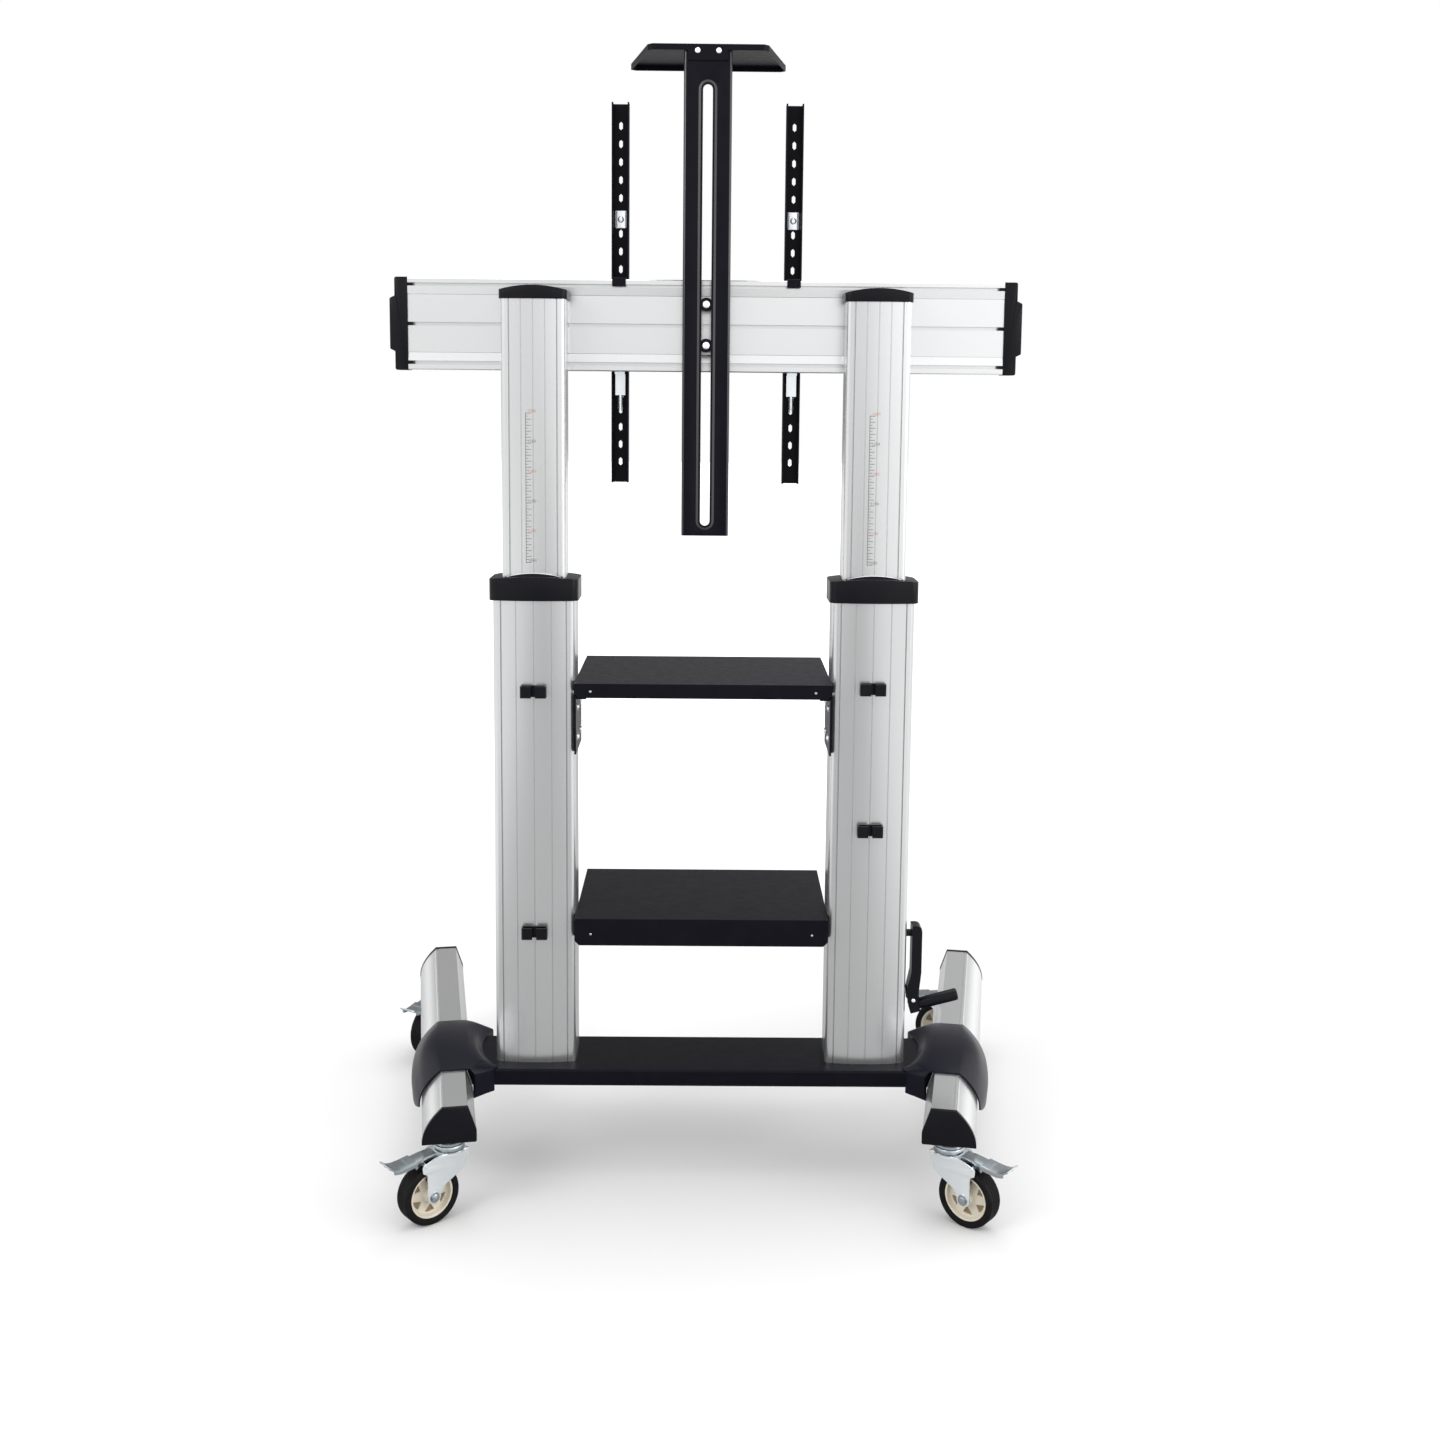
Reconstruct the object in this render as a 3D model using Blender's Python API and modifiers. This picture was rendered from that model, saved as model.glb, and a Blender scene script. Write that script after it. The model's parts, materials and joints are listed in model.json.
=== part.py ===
"""Mobile stand for a large screen: two crank-lifted columns on a splayed, wheeled base.

Metres, +Z up. The floor is z = 0. The screen side faces +Y and the service side -Y, and left is -X.
"""

import math

import bmesh
import bpy
from mathutils import Matrix, Vector

# Gaps between pieces
SEAT_GAP = 0.0003
RUN_GAP = 0.0005

# Wheels
WHEEL_RADIUS = 0.050
WHEEL_SIDES = 24
TYRE_WIDTH = 0.032
TYRE_THICKNESS = 0.0115
TYRE_SHOULDER = 0.004
RIM_WIDTH = 0.027
RIM_THICKNESS = 0.0035
HUB_BOSS_RADIUS = 0.0125
HUB_BOSS_WIDTH = 0.034
HUB_WEB = 0.007
HUB_WINDOWS = 6
AXLE_RADIUS = 0.005
AXLE_HEAD = 0.007

# Caster forks, swivel races and brake levers
CASTER_TRAIL = 0.040
CASTER_INSET = 0.032
CHEEK_THICKNESS = 0.0025
CHEEK_BOSS = 0.0115
CHEEK_CLEARANCE = 0.003
CROWN_CLEARANCE = 0.0125
CROWN_THICKNESS = 0.005
CROWN_RADIUS = 0.027
RACE_RADIUS = 0.0255
RACE_HEIGHT = 0.0205
STEM_RADIUS = 0.011
STEM_HEIGHT = 0.0035
HORN_REACH = 0.060
HORN_DEPTH = 0.013
BRAKE_WIDTH = 0.025
BRAKE_REACH = 0.117
BRAKE_THICKNESS = 0.002
BRAKE_PIN_RADIUS = 0.003
ROUND_SIDES = 20

# Legs
LEG_LENGTH = 0.775
LEG_SPLAY = math.radians(10.1)
LEG_CENTRE_X = 0.475
LEG_CENTRE_Y = 0.010
LEG_WIDTH = 0.087
LEG_HEIGHT = 0.058
LEG_CURVE_RUN = 0.033
LEG_SLANT_RUN = 0.0135
LEG_SLANT_RISE = 0.019
LEG_HEEL = 0.003
LEG_WALL = 0.003
LEG_GROOVE = 0.0009
LEG_CAP_THICKNESS = 0.008
LEG_CAP_OVERHANG = 0.0008
LEG_CAP_PLUG = 0.012

# Moulded covers over the joints of legs and tray
COVER_LENGTH = 0.223
COVER_WALL = 0.0025
COVER_CROWN = 0.0122
COVER_BULGE = 0.006
COVER_SKIRT = 0.024
COVER_SLACK = 0.0016
COVER_INNER_SKIRT = 0.010
COVER_GUSSET_DROP = 0.035
COVER_GUSSET_SLANT = 0.014
COVER_WAIST = 0.0645
COVER_CORNER = 0.0875
COVER_CORNER_AT = 0.75

# Base tray
TRAY_Y = -0.122
TRAY_DEPTH = 0.152
TRAY_LIP = 0.028
TRAY_DROP = 0.010
TRAY_WALL = 0.0025
TRAY_EDGE = 0.003

# Columns
COLUMN_SPACING = 0.575
COLUMN_Y = -0.1235
OUTER_WIDTH = 0.139
OUTER_DEPTH = 0.090
OUTER_LENGTH = 0.820
OUTER_CROWN = 0.005
OUTER_CORNER = 0.009
OUTER_WALL = 0.004
INNER_WIDTH = 0.108
INNER_DEPTH = 0.066
INNER_LENGTH = 0.905
INNER_REACH = 0.495
INNER_CROWN = 0.003
INNER_CORNER = 0.008
INNER_WALL = 0.0035
GROOVE_INSET = 0.014
GROOVE_HALF = 0.0009
GROOVE_DEPTH = 0.0014
OUTER_RIB_PITCH = 0.030
INNER_RIB_PITCH = 0.0195
RIB_HALF = 0.0006
RIB_DEPTH = 0.0005
COLLAR_MARGIN = 0.006
COLLAR_HEIGHT = 0.0345
COLLAR_SKIRT = 0.007
COLLAR_CROWN = 0.006
COLLAR_CORNER = 0.014
COLLAR_WALL = 0.004
COLLAR_LIP = 0.003
COLLAR_LIP_RISE = 0.005
COLLAR_POCKET = 0.009
CAP_MARGIN = 0.003
CAP_HEIGHT = 0.014
CAP_CROWN = 0.008

# Lift drive inside the columns
SCREW_RADIUS = 0.009
NUT_HEIGHT = 0.025
GEAR_RADIUS = 0.0107
GEAR_WIDTH = 0.012
GEAR_CLEARANCE = 0.0006
SHAFT_RADIUS = 0.006
SCREW_TOP_CLEARANCE = 0.030

# Crank
CRANK_RISE = 0.232
CRANK_STANDOFF = 0.0095
CRANK_DEPTH = 0.0175
CRANK_WIDTH = 0.029
CRANK_WALL = 0.003
CRANK_TOP = 0.016
CRANK_REACH = 0.118
CRANK_BEND = 0.007
GRIP_OFFSET = 0.013
GRIP_RADIUS = 0.0105
GRIP_ROOT = 0.010
GRIP_LENGTH = 0.079
GRIP_TILT = math.radians(15)
KNUCKLE_LENGTH = 0.018
SPINDLE_RADIUS = 0.004
PIVOT_RADIUS = 0.003

# Shelves between the columns
SHELF_DEPTH = 0.300
SHELF_OVERHANG = 0.021
SHELF_WALL = 0.002
UPPER_SHELF_RISE = 0.676
UPPER_SHELF_LIP = 0.0245
LOWER_SHELF_RISE = 0.267
LOWER_SHELF_LIP = 0.047
SHELF_CHAMFER = 0.008
BRACKET_DROP = 0.098
BRACKET_LEDGE = 0.020
BRACKET_SPAN = 0.120
BRACKET_WALL = 0.003

# Cross beam
BEAM_LENGTH = 1.025
BEAM_HEIGHT = 0.154
BEAM_DEPTH = 0.035
BEAM_DROP = 0.040
BEAM_WALL = 0.003
SLOT_AT = 0.065
SLOT_HALF = 0.003
SLOT_DEPTH = 0.005
BAND_HALF = 0.0475
BAND_DEPTH = 0.001
CHANNEL_HALF = 0.0034
CHANNEL_DEPTH = 0.0025
BEAM_CAP_LENGTH = 0.0235
BEAM_CAP_SHOULDER = 0.013
BEAM_CAP_MARGIN = 0.001
BEAM_CAP_FLAT = 0.034

# Camera mast
MAST_WIDTH = 0.080
MAST_DEPTH = 0.030
MAST_WALL = 0.0025
MAST_BELOW = 0.354
MAST_ABOVE = 0.454
MAST_SLOT = 0.016
MAST_BORDER = 0.032
MAST_BORDER_RISE = 0.0015
MAST_SLOT_START = 0.009
MAST_SLOT_END = 0.053
CAMERA_REAR_WIDTH = 0.200
CAMERA_FRONT_WIDTH = 0.270
CAMERA_DEPTH = 0.180
CAMERA_LIP = 0.010
CAMERA_WALL = 0.002
CAMERA_FLANGE = 0.026

# Screen brackets and their latches
ARM_SPACING = 0.296
ARM_WIDTH = 0.0295
ARM_DEPTH = 0.025
ARM_WALL = 0.0025
ARM_BELOW = 0.268
ARM_ABOVE = 0.374
ARM_HOLE_PITCH = 0.030
ARM_HOLE_HALF = 0.003
ARM_HOLE_LENGTH = 0.014
HOOK_WIDTH = 0.023
HOOK_DROP = 0.012
LATCH_WIDTH = 0.017
LATCH_HEIGHT = 0.040
LATCH_DEPTH = 0.012
LATCH_LIP = 0.008
LATCH_LIP_HEIGHT = 0.004
LATCH_SCREW_RADIUS = 0.003
LATCH_SCREW_LENGTH = 0.028

# Cable clips: side, height above the tray
CLIP_WIDTH = 0.044
CLIP_HEIGHT = 0.020
CLIP_DEPTH = 0.015
CLIP_WALL = 0.0025
CLIP_MOUTH = 0.007
CLIPS = {
    "cable_clip_upper_left": (-1, 0.659),
    "cable_clip_lower_left": (-1, 0.237),
    "cable_clip_upper_right": (1, 0.667),
    "cable_clip_lower_right": (1, 0.421),
}

# Which way each caster trails, in degrees from +X, and on which leg and end it sits
CASTERS = {
    "rear_left": (-1, -1, 219),
    "rear_right": (1, -1, 321),
    "front_left": (-1, 1, 243),
    "front_right": (1, 1, 162),
}

# Levels, from the floor up
CROWN_BOTTOM_Z = 2 * WHEEL_RADIUS + CROWN_CLEARANCE
CROWN_TOP_Z = CROWN_BOTTOM_Z + CROWN_THICKNESS
RACE_BOTTOM_Z = CROWN_TOP_Z + RUN_GAP
RACE_TOP_Z = RACE_BOTTOM_Z + RACE_HEIGHT
LEG_BOTTOM_Z = RACE_TOP_Z + STEM_HEIGHT
LEG_TOP_Z = LEG_BOTTOM_Z + LEG_HEIGHT
TRAY_TOP_Z = LEG_TOP_Z - TRAY_DROP
OUTER_BOTTOM_Z = TRAY_TOP_Z + SEAT_GAP
OUTER_TOP_Z = OUTER_BOTTOM_Z + OUTER_LENGTH
INNER_TOP_Z = OUTER_TOP_Z + INNER_REACH
INNER_BOTTOM_Z = INNER_TOP_Z - INNER_LENGTH
BEAM_CENTRE_Z = INNER_TOP_Z - BEAM_DROP
BEAM_TOP_Z = BEAM_CENTRE_Z + BEAM_HEIGHT / 2
BEAM_BOTTOM_Z = BEAM_CENTRE_Z - BEAM_HEIGHT / 2
UPPER_SHELF_Z = TRAY_TOP_Z + UPPER_SHELF_RISE
LOWER_SHELF_Z = TRAY_TOP_Z + LOWER_SHELF_RISE
CRANK_Z = TRAY_TOP_Z + CRANK_RISE

# Planes, from the service side to the screen side
COLUMN_X = COLUMN_SPACING / 2
COLUMN_REAR_Y = COLUMN_Y - OUTER_DEPTH / 2
BEAM_REAR_Y = COLUMN_Y + INNER_DEPTH / 2 + SEAT_GAP
BEAM_FRONT_Y = BEAM_REAR_Y + BEAM_DEPTH
ARM_REAR_Y = BEAM_FRONT_Y + SEAT_GAP
ARM_FRONT_Y = ARM_REAR_Y + ARM_DEPTH
MAST_FRONT_Y = BEAM_REAR_Y - SEAT_GAP
MAST_REAR_Y = MAST_FRONT_Y - MAST_DEPTH
SHELF_REAR_Y = COLUMN_REAR_Y - SHELF_OVERHANG
SHELF_CENTRE_Y = SHELF_REAR_Y + SHELF_DEPTH / 2
SHELF_HALF_WIDTH = COLUMN_X - OUTER_WIDTH / 2 - SEAT_GAP
SHAFT_Y = COLUMN_Y - 2 * GEAR_RADIUS - GEAR_CLEARANCE
CRANK_INNER_X = COLUMN_X + OUTER_WIDTH / 2 + CRANK_STANDOFF

# How a flat outline is turned: its plane is XY, YZ or XZ
IN_XY = (0.0, 0.0, 0.0)
IN_YZ = (math.pi / 2, 0.0, math.pi / 2)
IN_XZ = (math.pi / 2, 0.0, 0.0)


def clear_scene():
    """Removes every object of the scene."""
    for obj in list(bpy.data.objects):
        bpy.data.objects.remove(obj, do_unlink=True)


def new_collection(name, hidden):
    """A collection of the scene, hidden from renders where it holds only helpers."""
    collection = bpy.data.collections.new(name)
    collection.hide_render = hidden
    bpy.context.scene.collection.children.link(collection)
    return collection


def finish(name, colour, roughness, metallic):
    """A material of one colour, roughness and metallic value."""
    material = bpy.data.materials.new(name)
    material.use_nodes = True
    shader = material.node_tree.nodes["Principled BSDF"]
    shader.inputs["Base Color"].default_value = (*colour, 1.0)
    shader.inputs["Roughness"].default_value = roughness
    shader.inputs["Metallic"].default_value = metallic
    material.diffuse_color = (*colour, 1.0)
    return material


clear_scene()
PARTS = new_collection("mobile_screen_stand", False)
CUTTERS = new_collection("cutters", True)
ALUMINIUM = finish("anodised_aluminium", (0.78, 0.80, 0.82), 0.35, 0.9)
STEEL = finish("black_steel", (0.020, 0.020, 0.026), 0.45, 0.3)
PLASTIC = finish("black_plastic", (0.014, 0.014, 0.018), 0.40, 0.0)
ZINC = finish("bright_zinc", (0.70, 0.73, 0.76), 0.25, 1.0)
RUBBER = finish("black_rubber", (0.012, 0.012, 0.013), 0.65, 0.0)
NYLON = finish("cream_nylon", (0.72, 0.66, 0.52), 0.50, 0.0)


def evaluated_mesh(obj, name):
    """The object's evaluated mesh, welded, with its faces pointing out."""
    bpy.context.view_layer.update()
    graph = bpy.context.evaluated_depsgraph_get()
    mesh = bpy.data.meshes.new_from_object(obj.evaluated_get(graph))
    mesh.name = name
    shape = bmesh.new()
    shape.from_mesh(mesh)
    bmesh.ops.remove_doubles(shape, verts=shape.verts, dist=1e-6)
    bmesh.ops.recalc_face_normals(shape, faces=shape.faces)
    shape.to_mesh(mesh)
    shape.free()
    return mesh


def used_up(obj, name):
    """The object's evaluated mesh, after which the object and its own cutters are removed."""
    mesh = evaluated_mesh(obj, name)
    mesh.transform(obj.matrix_world)
    helpers = [modifier.object for modifier in obj.modifiers if modifier.type == "BOOLEAN"]
    for helper in [*helpers, obj]:
        bpy.data.objects.remove(helper, do_unlink=True)
    return mesh


def add_part(name, mesh, material, location=(0, 0, 0), turn=IN_XY, parent=None):
    """A piece of the stand, shaded smooth except at its edges."""
    obj = bpy.data.objects.new(name, mesh)
    PARTS.objects.link(obj)
    obj.location = location
    obj.rotation_euler = turn
    obj.parent = parent
    if not mesh.materials:
        mesh.materials.append(material)
    mesh.shade_smooth()
    mesh.set_sharp_from_angle(angle=math.radians(32))
    return obj


def add_axis(name, location, turn=IN_XY, parent=None):
    """An empty on a joint's axis or at a sub-assembly's own origin."""
    axis = bpy.data.objects.new(name, None)
    PARTS.objects.link(axis)
    axis.empty_display_size = 0.05
    axis.location = location
    axis.rotation_euler = turn
    axis.parent = parent
    return axis


def helper(mesh, location=(0, 0, 0), turn=IN_XY, parent=None):
    """A cutter, or a shape that is fused to a piece."""
    obj = bpy.data.objects.new(mesh.name + "_helper", mesh)
    CUTTERS.objects.link(obj)
    obj.location = location
    obj.rotation_euler = turn
    obj.parent = parent
    obj.display_type = "WIRE"
    obj.hide_render = True
    return obj


def combine(obj, other, operation):
    """Cuts the object by the other, fuses them or keeps what they share."""
    modifier = obj.modifiers.new(operation.lower(), "BOOLEAN")
    modifier.operation = operation
    modifier.object = other
    return obj


def extrusion(name, loops, length):
    """A flat outline with its holes, as thick as this length, half on each side of its plane."""
    curve = bpy.data.curves.new(name, "CURVE")
    curve.dimensions = "2D"
    curve.fill_mode = "BOTH"
    curve.extrude = length / 2
    for loop in loops:
        spline = curve.splines.new("POLY")
        spline.points.add(len(loop) - 1)
        spline.use_cyclic_u = True
        for point, (x, y) in zip(spline.points, loop):
            point.co = (x, y, 0.0, 1.0)
    return used_up(helper_curve(name, curve), name)


def helper_curve(name, curve):
    """A curve object, linked so that it can be made a mesh."""
    obj = bpy.data.objects.new(name + "_curve", curve)
    CUTTERS.objects.link(obj)
    return obj


def turned(name, profile, sides, closed=True):
    """A profile of (radius, height) points, turned round the Z axis."""
    mesh = bpy.data.meshes.new(name)
    ends = list(zip(range(len(profile) - 1), range(1, len(profile))))
    if closed:
        ends.append((len(profile) - 1, 0))
    mesh.from_pydata([(radius, 0, height) for radius, height in profile], ends, [])
    obj = bpy.data.objects.new(name + "_profile", mesh)
    CUTTERS.objects.link(obj)
    screw = obj.modifiers.new("screw", "SCREW")
    screw.steps = screw.render_steps = sides
    screw.use_merge_vertices = True
    screw.merge_threshold = 1e-6
    return used_up(obj, name)


def rod(name, radius, length, sides=ROUND_SIDES):
    """A cylinder along Z about its own middle."""
    shape = bmesh.new()
    bmesh.ops.create_cone(
        shape, cap_ends=True, segments=sides, radius1=radius, radius2=radius, depth=length
    )
    mesh = bpy.data.meshes.new(name)
    shape.to_mesh(mesh)
    shape.free()
    return mesh


def block(name, size, edge=0.0):
    """A box about its own middle, its edges rounded by this much."""
    shape = bmesh.new()
    bmesh.ops.create_cube(shape, size=1.0)
    bmesh.ops.scale(shape, vec=Vector(size), verts=shape.verts)
    if edge:
        bmesh.ops.bevel(shape, geom=shape.edges, offset=edge, segments=1, affect="EDGES")
    mesh = bpy.data.meshes.new(name)
    shape.to_mesh(mesh)
    shape.free()
    return mesh


def bevelled(mesh, chosen, width, segments=2):
    """The mesh with rounded edges, where both ends of an edge are chosen by their place."""
    shape = bmesh.new()
    shape.from_mesh(mesh)
    edges = [
        edge
        for edge in shape.edges
        if all(chosen(vert.co) for vert in edge.verts) and edge.calc_face_angle(0) > 0.5
    ]
    bmesh.ops.bevel(shape, geom=edges, offset=width, segments=segments, affect="EDGES")
    bmesh.ops.dissolve_degenerate(shape, edges=shape.edges, dist=1e-6)
    shape.to_mesh(mesh)
    shape.free()
    return mesh


def arc(centre, radius, start, end, steps):
    """Points on a circle between two angles in degrees."""
    angles = [math.radians(start + (end - start) * i / steps) for i in range(steps + 1)]
    return [
        (centre[0] + radius * math.cos(a), centre[1] + radius * math.sin(a)) for a in angles
    ]


def rectangle(width, height, centre=(0.0, 0.0), corner=0.0, steps=2):
    """A rectangle, anticlockwise, with round corners where they have a radius."""
    x, y = width / 2 - corner, height / 2 - corner
    centres = [(x, y), (-x, y), (-x, -y), (x, -y)]
    if not corner:
        return [(centre[0] + cx, centre[1] + cy) for cx, cy in centres]
    points = []
    for quarter, (cx, cy) in enumerate(centres):
        middle = (centre[0] + cx, centre[1] + cy)
        points += arc(middle, corner, 90 * quarter, 90 * quarter + 90, steps)
    return points


def stadium(width, bottom, top, centre_x=0.0, steps=4):
    """A slot with round ends, from its bottom to its top."""
    radius = width / 2
    upper = arc((centre_x, top - radius), radius, 0, 180, steps)
    lower = arc((centre_x, bottom + radius), radius, 180, 360, steps)
    return upper + lower


def circle(radius, centre=(0.0, 0.0), sides=ROUND_SIDES):
    """A round hole or edge."""
    return arc(centre, radius, 0, 360 - 360 / sides, sides - 1)


def mirrored(points):
    """The same outline on the other side of its vertical axis."""
    return [(-x, y) for x, y in reversed(points)]


def column_outline(width, depth, crown, corner, notches):
    """A column's section: bowed rear and front faces with narrow notches, and round corners."""
    reach = width / 2 - corner

    def bow(x):
        return -depth / 2 + crown * (x / reach) ** 2

    stops = [(-reach + 2 * reach * i / 12, 0.0) for i in range(13)]
    for at, half, deep in notches:
        stops = [stop for stop in stops if abs(stop[0] - at) > 1.5 * half]
        stops += [(at - half, 0.0), (at, deep), (at + half, 0.0)]
    face = [(x, bow(x) + inset) for x, inset in sorted(stops)]
    middle_y = bow(reach) + corner
    left = arc((-reach, middle_y), corner, 180, 270, 3)[:-1]
    right = arc((reach, middle_y), corner, 270, 360, 3)[1:]
    half_outline = left + face + right
    return half_outline + [(-x, -y) for x, y in half_outline]


def column_notches(width, pitch):
    """Where a column's face is grooved: near both edges, and as three fine lines between."""
    edges = [(side * (width / 2 - GROOVE_INSET), GROOVE_HALF, GROOVE_DEPTH) for side in (-1, 1)]
    lines = [(step * pitch, RIB_HALF, RIB_DEPTH) for step in (-1, 0, 1)]
    return edges + lines


# Casters


def facet(radius):
    """The corner radius of a wheel's ring whose flats lie at this radius."""
    return radius / math.cos(math.pi / WHEEL_SIDES)


def tyre_mesh():
    """The tyre, with rounded shoulders."""
    inner, outer = WHEEL_RADIUS - TYRE_THICKNESS, WHEEL_RADIUS
    half, edge = TYRE_WIDTH / 2, TYRE_SHOULDER
    upper = [(inner, half), (outer - edge, half), (outer, half - edge)]
    profile = upper + [(radius, -height) for radius, height in reversed(upper)]
    return turned("tyre", [(facet(r), h) for r, h in profile], WHEEL_SIDES)


def hub_mesh():
    """The wheel's moulded hub: boss, web with windows, and rim."""
    rim_outer = WHEEL_RADIUS - TYRE_THICKNESS - SEAT_GAP
    rim_inner = rim_outer - RIM_THICKNESS
    bore = AXLE_RADIUS + RUN_GAP
    upper = [
        (bore, HUB_BOSS_WIDTH / 2),
        (HUB_BOSS_RADIUS, HUB_BOSS_WIDTH / 2),
        (HUB_BOSS_RADIUS, HUB_WEB / 2),
        (rim_inner, HUB_WEB / 2),
        (rim_inner, RIM_WIDTH / 2),
        (rim_outer, RIM_WIDTH / 2),
    ]
    profile = upper + [(radius, -height) for radius, height in reversed(upper)]
    mesh = turned("hub", [(facet(r), h) for r, h in profile], WHEEL_SIDES)
    hub = helper(mesh)
    for window in range(HUB_WINDOWS):
        combine(hub, window_cutter(360 * (window + 0.5) / HUB_WINDOWS, rim_inner), "DIFFERENCE")
    return used_up(hub, "wheel_hub")


def window_cutter(angle, rim_inner):
    """A swept triangular window through the hub's web."""
    near, far = HUB_BOSS_RADIUS + 0.004, rim_inner - 0.003
    corners = [(near, angle - 6), (far, angle - 16), (far, angle + 18)]
    points = []
    for radius, degrees in corners:
        turn = math.radians(degrees)
        points.append((radius * math.cos(turn), radius * math.sin(turn)))
    return helper(extrusion("hub_window", [points], 2 * HUB_WEB))


def cheek_outline():
    """One side of the fork: a broad top with a horn for the lever, tapering to the axle."""
    top, low = CROWN_TOP_Z, WHEEL_RADIUS
    back = -CROWN_RADIUS + 0.002
    horn_top, horn_low = top - 0.75 * HORN_DEPTH, top - 1.9 * HORN_DEPTH
    return [
        (back, top),
        (back + 0.001, top - 0.008),
        (back + 0.009, low + 3.1 * CHEEK_BOSS),
        (CASTER_TRAIL - 1.7 * CHEEK_BOSS, low + 1.35 * CHEEK_BOSS),
        *arc((CASTER_TRAIL, low), CHEEK_BOSS, 160, 360, 8),
        (CASTER_TRAIL + CHEEK_BOSS, horn_low - 0.004),
        (CASTER_TRAIL + CHEEK_BOSS + 0.003, horn_low),
        (HORN_REACH, horn_low + 0.002),
        (HORN_REACH, horn_top),
        (RACE_RADIUS + 0.004, top),
    ]


def fork_mesh():
    """The swivelling fork: crown, two cheeks, and the axle bolt with its heads."""
    cheek_y = TYRE_WIDTH / 2 + CHEEK_CLEARANCE + CHEEK_THICKNESS / 2
    crown_z = (CROWN_BOTTOM_Z + CROWN_TOP_Z) / 2
    fork = helper(rod("fork_crown", CROWN_RADIUS, CROWN_THICKNESS), (0, 0, crown_z))
    bridge_size = (CROWN_RADIUS + RACE_RADIUS, 2 * cheek_y, CROWN_THICKNESS)
    bridge = block("fork_bridge", bridge_size)
    combine(fork, helper(bridge, (0.001, 0, crown_z)), "UNION")
    for side in (-1, 1):
        cheek = extrusion("fork_cheek", [cheek_outline()], CHEEK_THICKNESS)
        combine(fork, helper(cheek, (0, side * cheek_y, 0), IN_XZ), "UNION")
    axle_length = 2 * cheek_y + CHEEK_THICKNESS
    axle_at = (CASTER_TRAIL, 0, WHEEL_RADIUS)
    axle = rod("axle", AXLE_RADIUS, axle_length, 16)
    combine(fork, helper(axle, axle_at, IN_XZ), "UNION")
    for side in (-1, 1):
        head_y = side * (axle_length / 2 + AXLE_HEAD / 4)
        head = rod("axle_head", AXLE_HEAD, AXLE_HEAD / 2 + 0.001, 6)
        combine(fork, helper(head, (CASTER_TRAIL, head_y, WHEEL_RADIUS), IN_XZ), "UNION")
    return used_up(fork, "caster_fork")


def race_mesh():
    """The swivel race, domed above its lower ring, with the stem that fixes it to the leg."""
    lower, upper = RACE_BOTTOM_Z + 0.4 * RACE_HEIGHT, RACE_BOTTOM_Z + 0.5 * RACE_HEIGHT
    stem_top = LEG_BOTTOM_Z - SEAT_GAP
    profile = [
        (0, RACE_BOTTOM_Z),
        (RACE_RADIUS - 0.001, RACE_BOTTOM_Z),
        (RACE_RADIUS, RACE_BOTTOM_Z + 0.001),
        (RACE_RADIUS, lower),
        (RACE_RADIUS - 0.0015, (lower + upper) / 2),
        (RACE_RADIUS, upper),
        (RACE_RADIUS, RACE_TOP_Z - 0.004),
        (RACE_RADIUS - 0.003, RACE_TOP_Z),
        (STEM_RADIUS, RACE_TOP_Z),
        (STEM_RADIUS, stem_top),
        (0, stem_top),
    ]
    return turned("caster_race", profile, ROUND_SIDES, closed=False)


def brake_outline():
    """The brake lever from the side: a pressed strip with an upturned lip, and its pad."""
    root, tip = RACE_RADIUS + 0.004, BRAKE_REACH
    level = CROWN_TOP_Z
    upper = [
        (root, level + 0.002),
        (0.050, level + 0.001),
        (0.068, level - 0.004),
        (0.084, level - 0.0075),
        (0.098, level - 0.0080),
        (0.107, level - 0.0045),
        (tip, level + 0.010),
    ]
    lower = [(x, z - BRAKE_THICKNESS) for x, z in reversed(upper)]
    lower[0] = (tip + 0.002, level + 0.0088)
    lower[1] = (0.108, lower[1][1])
    return upper + lower


def brake_mesh():
    """The brake lever with the pin that it tips on, between the cheeks."""
    pin_x, pin_z = 0.054, CROWN_TOP_Z - 0.0105
    lever = helper(extrusion("brake_strip", [brake_outline()], BRAKE_WIDTH), (0, 0, 0), IN_XZ)
    web = [
        (pin_x - 0.010, CROWN_TOP_Z),
        (pin_x - 0.004, pin_z - 0.002),
        (pin_x + 0.005, pin_z - 0.0035),
        (pin_x + 0.012, pin_z - 0.009),
        (pin_x + 0.014, CROWN_TOP_Z - 0.005),
        (pin_x - 0.004, CROWN_TOP_Z),
    ]
    pad = extrusion("brake_pad", [web], BRAKE_WIDTH * 0.7)
    combine(lever, helper(pad, (0, 0, 0), IN_XZ), "UNION")
    pin_length = TYRE_WIDTH + 2 * CHEEK_CLEARANCE - 2 * SEAT_GAP
    pin = rod("brake_pin", BRAKE_PIN_RADIUS, pin_length, 12)
    combine(lever, helper(pin, (pin_x, 0, pin_z), IN_XZ), "UNION")
    return used_up(lever, "brake_lever")


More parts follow.
